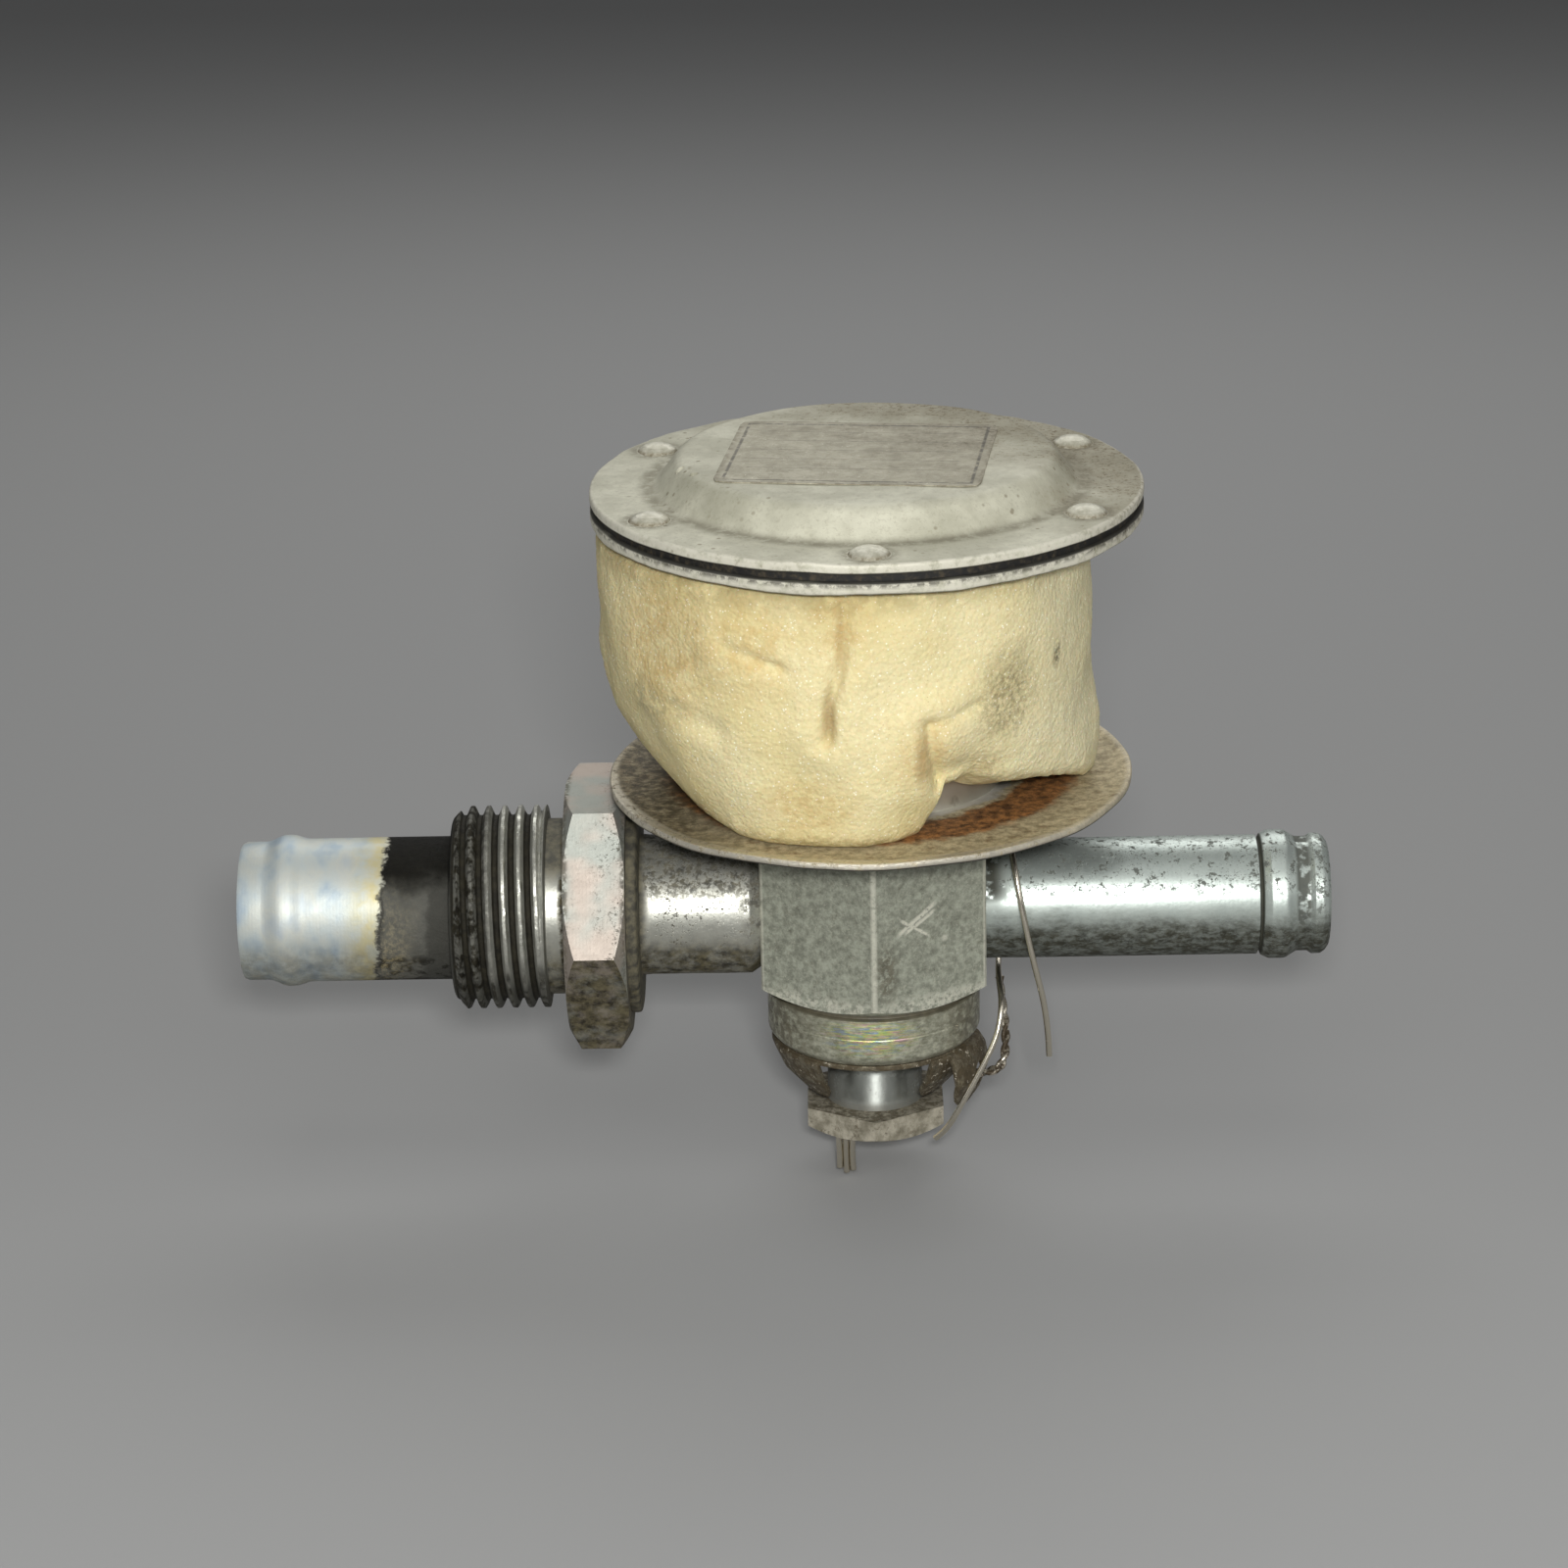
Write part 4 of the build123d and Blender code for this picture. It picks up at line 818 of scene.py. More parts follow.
def hex_bar(name, across_flats, low, high, line, cone, edge):
    """Hex bar with its ends turned to a cone; its corners point to the front and back."""
    centre, along, out = line
    corner_r = corner_radius(across_flats)
    middle = in_metres(centre + along * (low + high) / 2)
    turn = (0, pi / 2, 0) if along.x > 0.5 else (0, 0, 0)
    clear_selection()
    bpy.ops.mesh.primitive_cylinder_add(
        vertices=6, radius=corner_r * MM, depth=(high - low) * MM, location=middle, rotation=turn)
    piece = bpy.context.object
    piece.name = name
    bpy.ops.object.transform_apply(location=True, rotation=True, scale=True)
    cut(piece, spun("cone", cone, line, steps=144), "INTERSECT")
    return bevelled(piece, edge, 22)


def reshape(piece, rule):
    """Moves every vertex by a rule on an array of places, in millimetres."""
    places = np.empty(len(piece.data.vertices) * 3)
    piece.data.vertices.foreach_get("co", places)
    places = rule(places.reshape(-1, 3) / MM) * MM
    piece.data.vertices.foreach_set("co", places.ravel())
    piece.data.update()
    return piece


def roughened(places, size, depth, seed=0.0):
    """Soft random heights at each place, for dents and unevenness."""
    shift = Vector((seed, seed * 1.7, -seed))
    return np.array([noise.noise(Vector(place) / size + shift) for place in places]) * depth


def flattened(places):
    """The places at height 0, where heights are wanted that are the same right through a sheet."""
    return places * (1, 1, 0)


def out_of_round(tube, size, depth, seed=0.0):
    """Makes a tube on the hose line a little uneven."""
    def swollen(places):
        places[:, 1:] *= 1 + roughened(places, size, depth, seed)[:, None]
        return places

    reshape(tube, swollen)


def finished(piece, material, nodes, sharp):
    """Applies the place, shades the piece, gives it its material and hides the parts that it stands for."""
    choose(piece)
    bpy.ops.object.transform_apply(location=True, rotation=True, scale=True)
    if piece.type == "MESH":
        bpy.ops.object.shade_smooth_by_angle(angle=radians(sharp))
        piece.data.materials.clear()
        piece.data.materials.append(material)
    if nodes:
        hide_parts(*nodes)


def settled(piece, body, slot, material, *nodes, sharp=30.0):
    """Finishes a piece that rides on one body."""
    finished(piece, material, nodes, sharp)
    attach(piece, body)
    return piece


def stretched(piece, body, still_z, moved_z, slot, material, *nodes):
    """Finishes a piece and bakes its place into its mesh; body, still_z and moved_z are not used."""
    finished(piece, material, nodes, 60)
    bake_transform(piece)


def turned_copy(piece, angle):
    """A copy with its own mesh, turned about the valve line."""
    choose(piece)
    bpy.ops.object.duplicate(linked=False)
    bpy.ops.transform.rotate(value=angle, orient_axis="Z", center_override=in_metres(VALVE_LINE[0]))
    return bpy.context.object


def joined(pieces, name):
    clear_selection()
    for piece in pieces:
        piece.select_set(True)
    bpy.context.view_layer.objects.active = pieces[0]
    bpy.ops.object.join()
    pieces[0].name = name
    return pieces[0]


def length_property(name, description, millimetres):
    return bpy.props.FloatProperty(
        name=name, description=description, default=millimetres * MM, unit="LENGTH")


def colour_property(name, description, colour):
    return bpy.props.FloatVectorProperty(
        name=name, description=description, default=colour, size=4, min=0.0, max=1.0, subtype="COLOR")


# Settings

class HoseLineSettings(bpy.types.PropertyGroup):
    inlet_radius: length_property("Inlet radius", "Outer radius of the inlet hose tube", 9.525)
    outlet_radius: length_property("Outlet radius", "Outer radius of the outlet hose tube", 7.94)
    thread_radius: length_property("Thread radius", "Crest radius of the bulkhead thread", 13.49)
    thread_pitch: length_property("Thread pitch", "Advance of the bulkhead thread in one turn", 25.4 / 12)
    thread_depth: length_property("Thread depth", "Depth of the bulkhead thread's groove", 1.25)
    hex_flats: length_property("Hex size", "Big hex across its flats", 33.34)


class HeadSettings(bpy.types.PropertyGroup):
    flange_radius: length_property("Flange radius", "Outer radius of the diaphragm housing's flanges", 35.65)
    plate_radius: length_property("Filter plate radius", "Outer radius of the plate under the foam", 34.4)
    rivet_radius: length_property("Rivet radius", "Radius of a rivet's head", 2.7)


class StageSettings(bpy.types.PropertyGroup):
    floor_colour: colour_property("Floor", "Colour of the floor", (0.34, 0.34, 0.335, 1.0))
    key_power: bpy.props.FloatProperty(
        name="Key light", description="Power of the front lamp", default=2.45, unit="POWER")


# Pieces

class VALVE_OT_inlet_fitting(bpy.types.Operator):
    """Adds the inlet hose tube with its thread, the big hex and the tube to the body"""
    bl_idname = "valve.inlet_fitting"
    bl_label = "Inlet fitting"

    def execute(self, context):
        sizes = context.scene.valve_hose_line
        tube_r = sizes.inlet_radius / MM
        crest_r = sizes.thread_radius / MM
        pitch = sizes.thread_pitch / MM
        depth = sizes.thread_depth / MM
        flats = sizes.hex_flats / MM
        metal = zinc_plate()
        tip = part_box("inlet_fitting")[0].x / MM
        thread_from, thread_to = -15.2, -2.7
        end_r, neck_r = 9.22, 11.7
        ring_step = 0.35
        bead = [(tip + 3.1 + ring_step * k, end_r + 0.85 * sin(pi / 2 * min(1, k / 8)) ** 2)
                for k in range(10)]
        bead += [(tip + 6.6 + ring_step * k, tube_r + 0.525 * cos(pi / 2 * k / 7) ** 2)
                 for k in range(8)]
        outside = [(tip, INLET_BORE + 0.6), (tip + 0.1, 9.0), (tip + 0.6, end_r)] + bead
        outside += [(-24.0, tube_r), (thread_from - 0.3, tube_r)]
        outside += [(thread_from, tube_r + 0.3), (thread_from, crest_r - 1.7)]
        rings = int((thread_to - thread_from) / 0.13)
        outside += [(thread_from + 0.1 + (thread_to - thread_from - 0.2) * k / rings, crest_r)
                    for k in range(rings + 1)]
        outside += [(thread_to, crest_r - 1.4), (thread_to + 0.15, neck_r), (0.3, neck_r)]
        inside = [(0.3, INLET_BORE), (tip + 0.3, INLET_BORE)]
        hose_end = spun("inlet_hose_end", outside + inside, HOSE_LINE, steps=160)

        def threaded(places):
            radius = np.hypot(places[:, 1], places[:, 2])
            angle = np.arctan2(places[:, 2], places[:, 1])
            x = places[:, 0]
            turn = ((x - thread_from) / pitch - angle / (2 * pi)) % 1.0
            groove = np.clip(1.35 - abs(turn - 0.5) * 3.4, 0.0, 1.0)
            groove = groove * groove * (3 - 2 * groove) * 0.35 + groove * 0.65
            fade = np.clip((thread_to - 0.2 - x) / 0.7, 0, 1)
            lead = np.clip((x - thread_from) / 1.5, 0, 1)
            wanted = np.minimum(crest_r - depth * groove * fade, crest_r - 1.6 * (1 - lead))
            wanted += roughened(places, 1.3, 0.05, 3.0)
            on_thread = (x > thread_from + 0.05) & (x < thread_to - 0.05) & (radius > crest_r - 0.5)
            scale = np.where(on_thread, wanted / np.maximum(radius, 1e-6), 1.0)
            wobble = 1 + roughened(places, 6.0, 0.0035, 1.0) * (radius > INLET_BORE + 0.5)
            places[:, 1:] *= (scale * wobble)[:, None]
            return places

        reshape(hose_end, threaded)
        settled(hose_end, HOUSING, "zinc_steel", metal, "inlet_fitting", sharp=38)

        corner_r = corner_radius(flats) + 0.6
        face_r = flats / 2 + 0.05
        rise = (corner_r - flats / 2 - 0.05) * tan(radians(30))
        near, far = -0.001, BULKHEAD_LENGTH + 0.001
        cone = [
            (near, 0), (near, face_r), (rise, corner_r), (far - rise, corner_r), (far, face_r), (far, 0)]
        nut = hex_bar("bulkhead_hex", flats, 0, BULKHEAD_LENGTH, HOSE_LINE, cone, edge=0.22)
        cut(nut, bore(INLET_BORE, -1, 10))
        without_slivers(nut)
        settled(nut, HOUSING, "zinc_steel", metal, "inlet_fitting", sharp=8)

        face = VALVE_X - BODY_FLATS / 2
        outline = eased([
            (7.9, 14.35), (9.4, 14.4, 0.5), (9.6, 13.4, 0.5), (9.6, 9.4, 0.2), (11.0, 9.3, 0.4),
            (face - 1.3, 9.35, 0.6), (face, 8.45, 0), (face + TUBE_END, 8.45, 0),
            (face + TUBE_END, INLET_BORE, 0), (7.9, INLET_BORE, 0)])
        tube = spun("inlet_neck_tube", outline, HOSE_LINE, steps=160)
        out_of_round(tube, 7.0, 0.003)
        settled(tube, HOUSING, "zinc_steel", metal, "inlet_fitting")
        return {"FINISHED"}


class VALVE_OT_outlet_tube(bpy.types.Operator):
    """Adds the outlet hose tube with its groove, bead and end ridge"""
    bl_idname = "valve.outlet_tube"
    bl_label = "Outlet tube"

    def execute(self, context):
        tube_r = context.scene.valve_hose_line.outlet_radius / MM
        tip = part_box("outlet_tube")[1].x / MM
        face = VALVE_X + BODY_FLATS / 2
        outline = eased([
            (face - TUBE_END, 7.1, 0), (face, 7.9, 0), (face + 10, tube_r, 0), (91.2, tube_r, 0.1),
            (91.35, tube_r - 0.5, 0.1), (91.6, tube_r - 0.45, 0.1), (91.8, tube_r + 0.15, 0.25),
            (92.8, 8.56, 0.8), (94.9, 8.56, 1.2), (96.4, 7.62, 0.6), (97.9, 7.6, 0.4), (98.5, 8.02, 0.3),
            (99.6, 8.0, 0.5), (100.2, 7.6, 0.6), (tip, 7.0, 0.2), (tip, OUTLET_BORE, 0.1),
            (face - TUBE_END, OUTLET_BORE, 0)], 0.2, 4)
        tube = spun("outlet_hose_tube", outline, HOSE_LINE, steps=160)
        out_of_round(tube, 8.0, 0.003, 2.0)
        settled(tube, HOUSING, "tube_steel", outlet_plate(), "outlet_tube")
        return {"FINISHED"}


class VALVE_OT_valve_body(bpy.types.Operator):
    """Adds the hex bar body, its turned collar and the neck inside the filter plate"""
    bl_idname = "valve.valve_body"
    bl_label = "Valve body"

    def execute(self, context):
        metal = bar_zinc()
        corner_r = 17.03
        chamber_r, seat_r = 9.2, 9.8
        rise = (corner_r - COLLAR_RADIUS) * tan(radians(30))
        top_rise = (corner_r - BODY_FLATS / 2) * tan(radians(30))
        cone = [
            (BAR_FOOT, 0), (BAR_FOOT, COLLAR_RADIUS - 0.05), (BAR_FOOT + rise, corner_r),
            (BAR_TOP - top_rise, corner_r), (BAR_TOP, BODY_FLATS / 2), (BAR_TOP, 0)]
        bar = hex_bar("body_hex_bar", BODY_FLATS, BAR_FOOT, BAR_TOP, VALVE_LINE, cone, edge=0.16)
        cut(bar, spun("chamber", [
            (-12, 0), (-12, chamber_r), (13, chamber_r), (13, seat_r), (22, seat_r), (22, 0)], VALVE_LINE))
        cut(bar, bore(INLET_BORE, VALVE_X - 20, VALVE_X))
        cut(bar, bore(OUTLET_BORE, VALVE_X, VALVE_X + 20))
        without_slivers(bar)
        settled(bar, HOUSING, "body_steel", metal, "valve_body", sharp=8)

        outline = eased([
            (BAR_FOOT, 9.3, 0), (-10.72, 13.6, 0.15), (-11.35, 13.6, 0.2), (-11.6, COLLAR_RADIUS, 0.2),
            (-14.0, COLLAR_RADIUS, 0), (-14.1, 14.13, 0), (-14.25, 14.13, 0), (-14.35, COLLAR_RADIUS, 0),
            (-17.2, COLLAR_RADIUS, 0.9), (-18.2, 13.3, 0.5), (-18.2, 6.5, 0.2), (-12.0, 6.42, 0),
            (-12.0, chamber_r, 0), (-10.8, 9.25, 0)], 0.2, 4)
        collar = spun("body_collar", outline, VALVE_LINE, steps=192)
        settled(collar, HOUSING, "body_steel", metal, "valve_body")

        outline = eased([(17.05, 9.85), (17.05, 12.0), (20.6, 12.0, 0.4), (20.6, 9.85, 0.2)], 0)
        neck = spun("body_neck", outline, VALVE_LINE, steps=96)
        settled(neck, HOUSING, "body_steel", metal, "valve_body")
        return {"FINISHED"}


class VALVE_OT_filter_plate(bpy.types.Operator):
    """Adds the bent plate under the foam"""
    bl_idname = "valve.filter_plate"
    bl_label = "Filter plate"

    def execute(self, context):
        edge_r = context.scene.valve_head.plate_radius / MM
        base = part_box("filter_plate")[0].z / MM
        rings = [12.1] + [14.0 + k * 1.6 for k in range(11)]
        under = [(base, r, 0) for r in rings]
        under += [(base + 0.15, 31.4, 0), (base + 0.5, 33.4, 0.4), (base + 0.75, edge_r - 0.1, 0.3)]
        over = [(base + 1.75, edge_r - 0.05, 0.35), (base + 1.55, 33.2, 0.4), (base + 1.3, 31.4, 0)]
        over += [(base + 1.2, r, 0) for r in reversed(rings)]
        plate = spun("filter_plate_sheet", eased(under + over, 0.2), VALVE_LINE, steps=240)

        def bent(places):
            x = places[:, 0] - VALVE_X
            y = places[:, 1]
            free = np.clip((np.hypot(x, y) - 17.5) / 17.0, 0, 1) ** 1.5
            lift = 0.30 * x / edge_r + 0.22 * y / edge_r
            lift += roughened(flattened(places), 11.0, 0.42, 5.0)
            places[:, 2] += lift * free
            return places

        reshape(plate, bent)
        settled(plate, HOUSING, "plate_sheet", plate_metal(), "filter_plate")
        return {"FINISHED"}


# Small holes in the dome, from the valve axis.
VENTS = ((-23.7, -5.5), (-21.8, -9.0))


class VALVE_OT_diaphragm_head(bpy.types.Operator):
    """Adds the lower housing, the domed cover and its rivets"""
    bl_idname = "valve.diaphragm_head"
    bl_label = "Diaphragm head"

    def execute(self, context):
        head = context.scene.valve_head
        edge_r = head.flange_radius / MM
        metal = cover_metal()
        outline = eased([
            (46.0, 4.0), (46.0, 6.0, 0.3), (50.1, 6.0, 0.8), (50.1, 21.2, 1.2), (54.0, 26.9, 0.8),
            (53.95, 32.0, 0), (54.0, edge_r - 0.05, 0.5), (55.62, edge_r, 0.35), (55.66, 33.0, 0),
            (55.68, 25.5, 0.8), (51.3, 20.5, 1.0), (51.3, 4.0)], 0, 4)
        lower = spun("lower_housing_sheet", outline, VALVE_LINE, steps=240)
        reshape(lower, lambda places: self.rim_bent(places, (9.0, 0.24, 8.0), (2.2, 0.08, 3.0)))
        settled(lower, HOUSING, "cover_sheet", metal, "lower_housing")

        rings = (0, 4, 8, 12, 16, 20)
        outline = [(62.1, r, 0) for r in rings]
        outline += [(62.1, 24.2, 2.2), (58.15, 27.1, 1.6), (58.1, 31.5, 0), (58.1, edge_r - 0.02, 0.45)]
        outline += [(56.78, edge_r, 0.3), (56.7, 33.0, 0), (56.7, 26.2, 0.8), (60.9, 23.6, 1.2)]
        outline += [(60.9, r, 0) for r in reversed(rings)]
        cover = spun("upper_cover_dome", eased(outline, 0, 5), VALVE_LINE, steps=256)

        def dented(places):
            radius = np.hypot(places[:, 0] - VALVE_X, places[:, 1])
            places[:, 2] += roughened(flattened(places), 10.0, 0.12, 2.0) * np.clip(radius / 24, 0.2, 1)
            return self.rim_bent(places, (7.0, 0.22, 6.0), (2.0, 0.07, 4.0))

        reshape(cover, dented)
        for x, y in VENTS:
            clear_selection()
            bpy.ops.mesh.primitive_cylinder_add(
                vertices=24, radius=0.6 * MM, depth=8 * MM, location=in_metres((VALVE_X + x, y, 60)))
            cut(cover, bpy.context.object)
        settled(cover, HOUSING, "cover_sheet", metal, "upper_cover")

        head_r = head.rivet_radius / MM
        profile = eased([
            (59.15, 0, 0), (59.1, 0.9, 0.3), (58.85, head_r - 1.0, 0.4), (58.45, head_r - 0.3, 0.4),
            (58.05, head_r, 0)], 0, 3, False)
        tail = [(58.05, 1.6), (54.0, 1.6), (54.0, 2.1), (53.5, 2.1), (53.5, 0)]
        foot = Vector((*rivet_spot(0)[:2], 0))
        rivet = spun("rivet", profile + tail, (foot, *VALVE_LINE[1:]), steps=40, closed=False)
        turns = [index * 2 * pi / RIVET_COUNT for index in range(1, RIVET_COUNT)]
        heads = joined([rivet] + [turned_copy(rivet, turn) for turn in turns], "cover_rivet_heads")
        settled(heads, HOUSING, "cover_sheet", rivet_metal(), "cover_rivets", sharp=50)
        return {"FINISHED"}

    def rim_bent(self, places, large, fine):
        """Bends a flange's rim up and down, by two layers of (size, depth, seed)."""
        radius = np.hypot(places[:, 0] - VALVE_X, places[:, 1])
        at_rim = np.clip((radius - 33.0) / 2.6, 0, 1)
        flat = flattened(places)
        places[:, 2] += (roughened(flat, *large) + roughened(flat, *fine)) * at_rim
        return places


class VALVE_OT_name_plate(bpy.types.Operator):
    """Adds the bare foil plate on the dome"""
    bl_idname = "valve.name_plate"
    bl_label = "Name plate"

    def execute(self, context):
        clear_selection()
        bpy.ops.mesh.primitive_grid_add(x_subdivisions=40, y_subdivisions=34, size=1, location=(0, 0, 0))
        plate = bpy.context.object
        plate.name = "name_plate_foil"

        def laid(places):
            x = places[:, 0] * MM * FOIL_LENGTH
            y = places[:, 1] * MM * FOIL_WIDTH
            corner = np.clip(np.hypot(x / (FOIL_LENGTH / 2), y / (FOIL_WIDTH / 2)) - 1.33, 0, 1)
            shrink = 1 - corner * 0.3
            curl = np.clip((abs(x) - 13) / 4, 0, 1) * np.clip((abs(y) - 10) / 4, 0, 1)
            wrinkle = roughened(np.c_[x, y, 0 * x], 5.0, 0.03, 9.0)
            turn = radians(-LABEL_TURN)
            u = VALVE_X + LABEL_X + (x * cos(turn) - y * sin(turn)) * shrink
            v = LABEL_Y + (x * sin(turn) + y * cos(turn)) * shrink
            return np.c_[u, v, FOIL_HEIGHT + wrinkle + curl * 0.02]

        reshape(plate, laid)
        modified(plate, "SOLIDIFY", thickness=0.12 * MM, offset=0)
        settled(plate, HOUSING, "name_foil", foil(), "name_plate", sharp=40)
        return {"FINISHED"}


def along_path(angle, height, path):
    """Distance on the foam's face from a crease's path of (degrees, height), and the share along it."""
    best = np.full(len(angle), 1e9)
    share = np.zeros(len(angle))
    u = angle * FOAM_FACE_RADIUS
    spots = [(radians(a) * FOAM_FACE_RADIUS, z) for a, z in path]
    for index, (start, end) in enumerate(zip(spots, spots[1:])):
        run = np.array(end) - np.array(start)
        t = np.clip(((u - start[0]) * run[0] + (height - start[1]) * run[1]) / (run @ run), 0, 1)
        away = np.hypot(u - start[0] - t * run[0], height - start[1] - t * run[1])
        nearer = away < best
        best = np.where(nearer, away, best)
        share = np.where(nearer, (index + t) / (len(spots) - 1), share)
    return best, share


FOAM_WALL = 7.0
FOAM_FACE_RADIUS = 31.5
FOAM_TOP_RADIUS = 31.9
FOAM_TOP_SHIFT = -3.05
# Where the foam's foot stands on the plate: (degrees, radius).
FOAM_FOOT = (
    (-180, 24.8), (-160, 24.4), (-148, 25.4), (-139, 26.9), (-126, 29.6), (-117, 29.7), (-107, 28.8),
    (-92, 28.7), (-84, 27.2), (-77, 24.9), (-71, 22.5), (-64, 22.0), (-40, 26.0), (-20, 28.6), (0, 29.0),
    (40, 28.8), (90, 28.6), (135, 27.6), (165, 25.6), (180, 24.8))
# How high its lower edge hangs over the plate: (degrees, height).
FOAM_EDGE = (
    (-180, 0.0), (-76, 0.0), (-73, 1.8), (-70, 7.2), (-65, 7.7), (-61, 8.2), (-58, 7.4), (-54, 6.5),
    (-50, 6.0), (-40, 5.0), (-31, 4.2), (-22, 3.2), (-12, 1.2), (-4, 0.0), (180, 0.0))
# Creases: path as (degrees, height), depth, and half width.
FOAM_CREASES = (
    (((-95.4, 51.5), (-96.4, 44.0), (-99.4, 38.5), (-99.8, 34.0)), 1.25, 0.8),
    (((-122.0, 45.4), (-110.0, 43.3)), 0.6, 0.75),
    (((-76.5, 35.0), (-75.6, 31.4), (-72.5, 26.5)), 1.2, 0.85),
    (((-76.0, 35.2), (-64.0, 36.8)), 0.5, 0.8),
    (((-140.0, 36.0), (-126.0, 34.0)), 0.45, 1.6),
)


class VALVE_OT_foam_filter(bpy.types.Operator):
    """Adds the creased foam sleeve, tucked in at the lower left and lifted at the lower right"""
    bl_idname = "valve.foam_filter"
    bl_label = "Foam filter"

    def execute(self, context):
        low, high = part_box("foam_filter")
        foot_z = low.z / MM
        top_z = high.z / MM
        around = 640
        counts = ((124, 14, 50, 12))
        outer = np.linspace(0, 1, counts[0], endpoint=False)
        over = np.linspace(0, 1, counts[1], endpoint=False)
        inner = np.linspace(1, 0, counts[2], endpoint=False)
        under = np.linspace(1, 0, counts[3], endpoint=False)
        rounded = np.concatenate((outer, np.ones(counts[1]), inner, np.zeros(counts[3])))
        depth = np.concatenate((np.zeros(counts[0]), over, np.ones(counts[2]), under))
        angle, height = np.meshgrid(np.linspace(-pi, pi, around, endpoint=False), rounded)
        depth = np.repeat(depth[:, None], around, axis=1)
        degrees = np.degrees(angle)
        foot = np.interp(degrees, *zip(*FOAM_FOOT))
        edge = np.interp(degrees, *zip(*FOAM_EDGE))
        soft = 0.35 * np.sin(height * pi)
        hang = edge * (1 - depth * 0.35)
        z = foot_z + hang + height * (top_z - foot_z - hang)
        rise = np.clip((z - foot_z) / 23.5, 0, 1)
        upper = np.sqrt(FOAM_TOP_RADIUS ** 2 - (FOAM_TOP_SHIFT * np.sin(angle)) ** 2)
        upper += FOAM_TOP_SHIFT * np.cos(angle)
        radius = foot + (upper - foot) * (1 - (1 - rise) ** 2.3)
        radius += np.exp(-((z - 25.0) / 5.0) ** 2) * np.exp(-(degrees / 38.0) ** 2) + soft * 0.3
        creased = np.zeros_like(radius)
        for path, strength, width in FOAM_CREASES:
            away, share = along_path(angle.ravel(), z.ravel(), path)
            away = away.reshape(radius.shape)
            share = share.reshape(radius.shape)
            creased -= strength * np.exp(-(away / width) ** 2) * (0.45 + 0.55 * share)
            creased += 0.4 * strength * np.exp(-((away - 2.6) / 2.0) ** 2)
        radius += creased * (1 - depth)
        radius -= 0.9 * np.exp(-((z - 27.8) / 1.6) ** 2) * np.exp(-((degrees + 66) / 9) ** 2) * (1 - depth)
        corner = 1.6
        near_top = np.clip(1 - (top_z - z) / corner, 0, 1)
        near_foot = np.clip(1 - (z - foot_z - hang) / corner, 0, 1)
        radius -= (near_top ** 2 * 0.9 + near_foot ** 2 * 0.9) * (1 - depth)
        inner = np.maximum(np.minimum(radius - FOAM_WALL, 24.6), 17.9)
        mouth = np.clip((z - (top_z - 4.0)) / 4.0, 0, 1)
        inner = np.maximum(inner, 21.4 + mouth * 5.6)
        inner = np.minimum(inner, radius - 1.2)
        radius = radius + (inner - radius) * depth
        x = VALVE_X + radius * np.cos(angle)
        y = radius * np.sin(angle)
        places = np.stack((x, y, z), axis=-1).reshape(-1, 3)
        outward = np.stack((np.cos(angle), np.sin(angle), 0 * angle), axis=-1).reshape(-1, 3)
        uneven = roughened(places, 9.0, 0.7, 4.0) + roughened(places, 2.6, 0.10, 1.0)
        uneven += roughened(places, 0.55, 0.085, 7.0)
        keep = (1 - depth.ravel() * 0.8)
        places += outward * (uneven * keep)[:, None]
        hanging_edge = (near_foot.ravel() > 0) * (edge.ravel() > 0.5)
        places[:, 2] += roughened(places, 1.6, 0.3, 2.5) * keep * hanging_edge
        places[:, 2] = np.clip(places[:, 2], foot_z, top_z)
        rows = len(rounded)
        index = np.arange(rows * around).reshape(rows, around)
        below = np.roll(index, -1, axis=0)
        faces = np.stack((index, np.roll(index, -1, axis=1), np.roll(below, -1, axis=1), below), axis=-1)
        mesh = bpy.data.meshes.new("foam_filter_sleeve")
        mesh.from_pydata(places * MM, [], faces.reshape(-1, 4).tolist())
        mesh.update()
        sleeve = bpy.data.objects.new("foam_filter_sleeve", mesh)
        context.scene.collection.objects.link(sleeve)
        settled(sleeve, HOUSING, "filter_foam", open_foam(), "foam_filter", sharp=80)
        return {"FINISHED"}


class VALVE_OT_adjusting_screw(bpy.types.Operator):
    """Adds the adjusting screw with its bright shank and worn head"""
    bl_idname = "valve.adjusting_screw"
    bl_label = "Adjusting screw"

    def execute(self, context):
        corner_r = corner_radius(HEAD_FLATS) + 0.3
        rise = (corner_r - HEAD_FLATS / 2) * tan(radians(30))
        cone = [
            (HEAD_FOOT, 0), (HEAD_FOOT, HEAD_FLATS / 2 - 0.1), (HEAD_FOOT + rise, corner_r),
            (-27.9, corner_r), (-27.7, 10.2), (-27.7, 0)]
        head = hex_bar("screw_head", HEAD_FLATS, HEAD_FOOT, -27.8, VALVE_LINE, cone, edge=0.3)
        settled(head, ADJUSTER, "screw_steel", head_metal(), "adjusting_screw", sharp=8)
        shank_r, groove_r = 6.35, 4.65
        outline = eased([
            (-27.9, 0, 0), (-27.9, 6.7, 0), (-27.65, 6.5, 0.2), (-27.4, shank_r, 0.2), (-16.0, shank_r, 0),
            (-16.0, groove_r, 0), (-14.0, groove_r, 0), (-14.0, shank_r, 0), (-9.8, shank_r, 0),
            (-9.0, 5.55, 0), (-9.0, 0, 0)], 0, 3, False)
        shank = spun("screw_shank", outline, VALVE_LINE, steps=128, closed=False)
        settled(shank, ADJUSTER, "screw_steel", shank_metal(), "adjusting_screw")
        return {"FINISHED"}


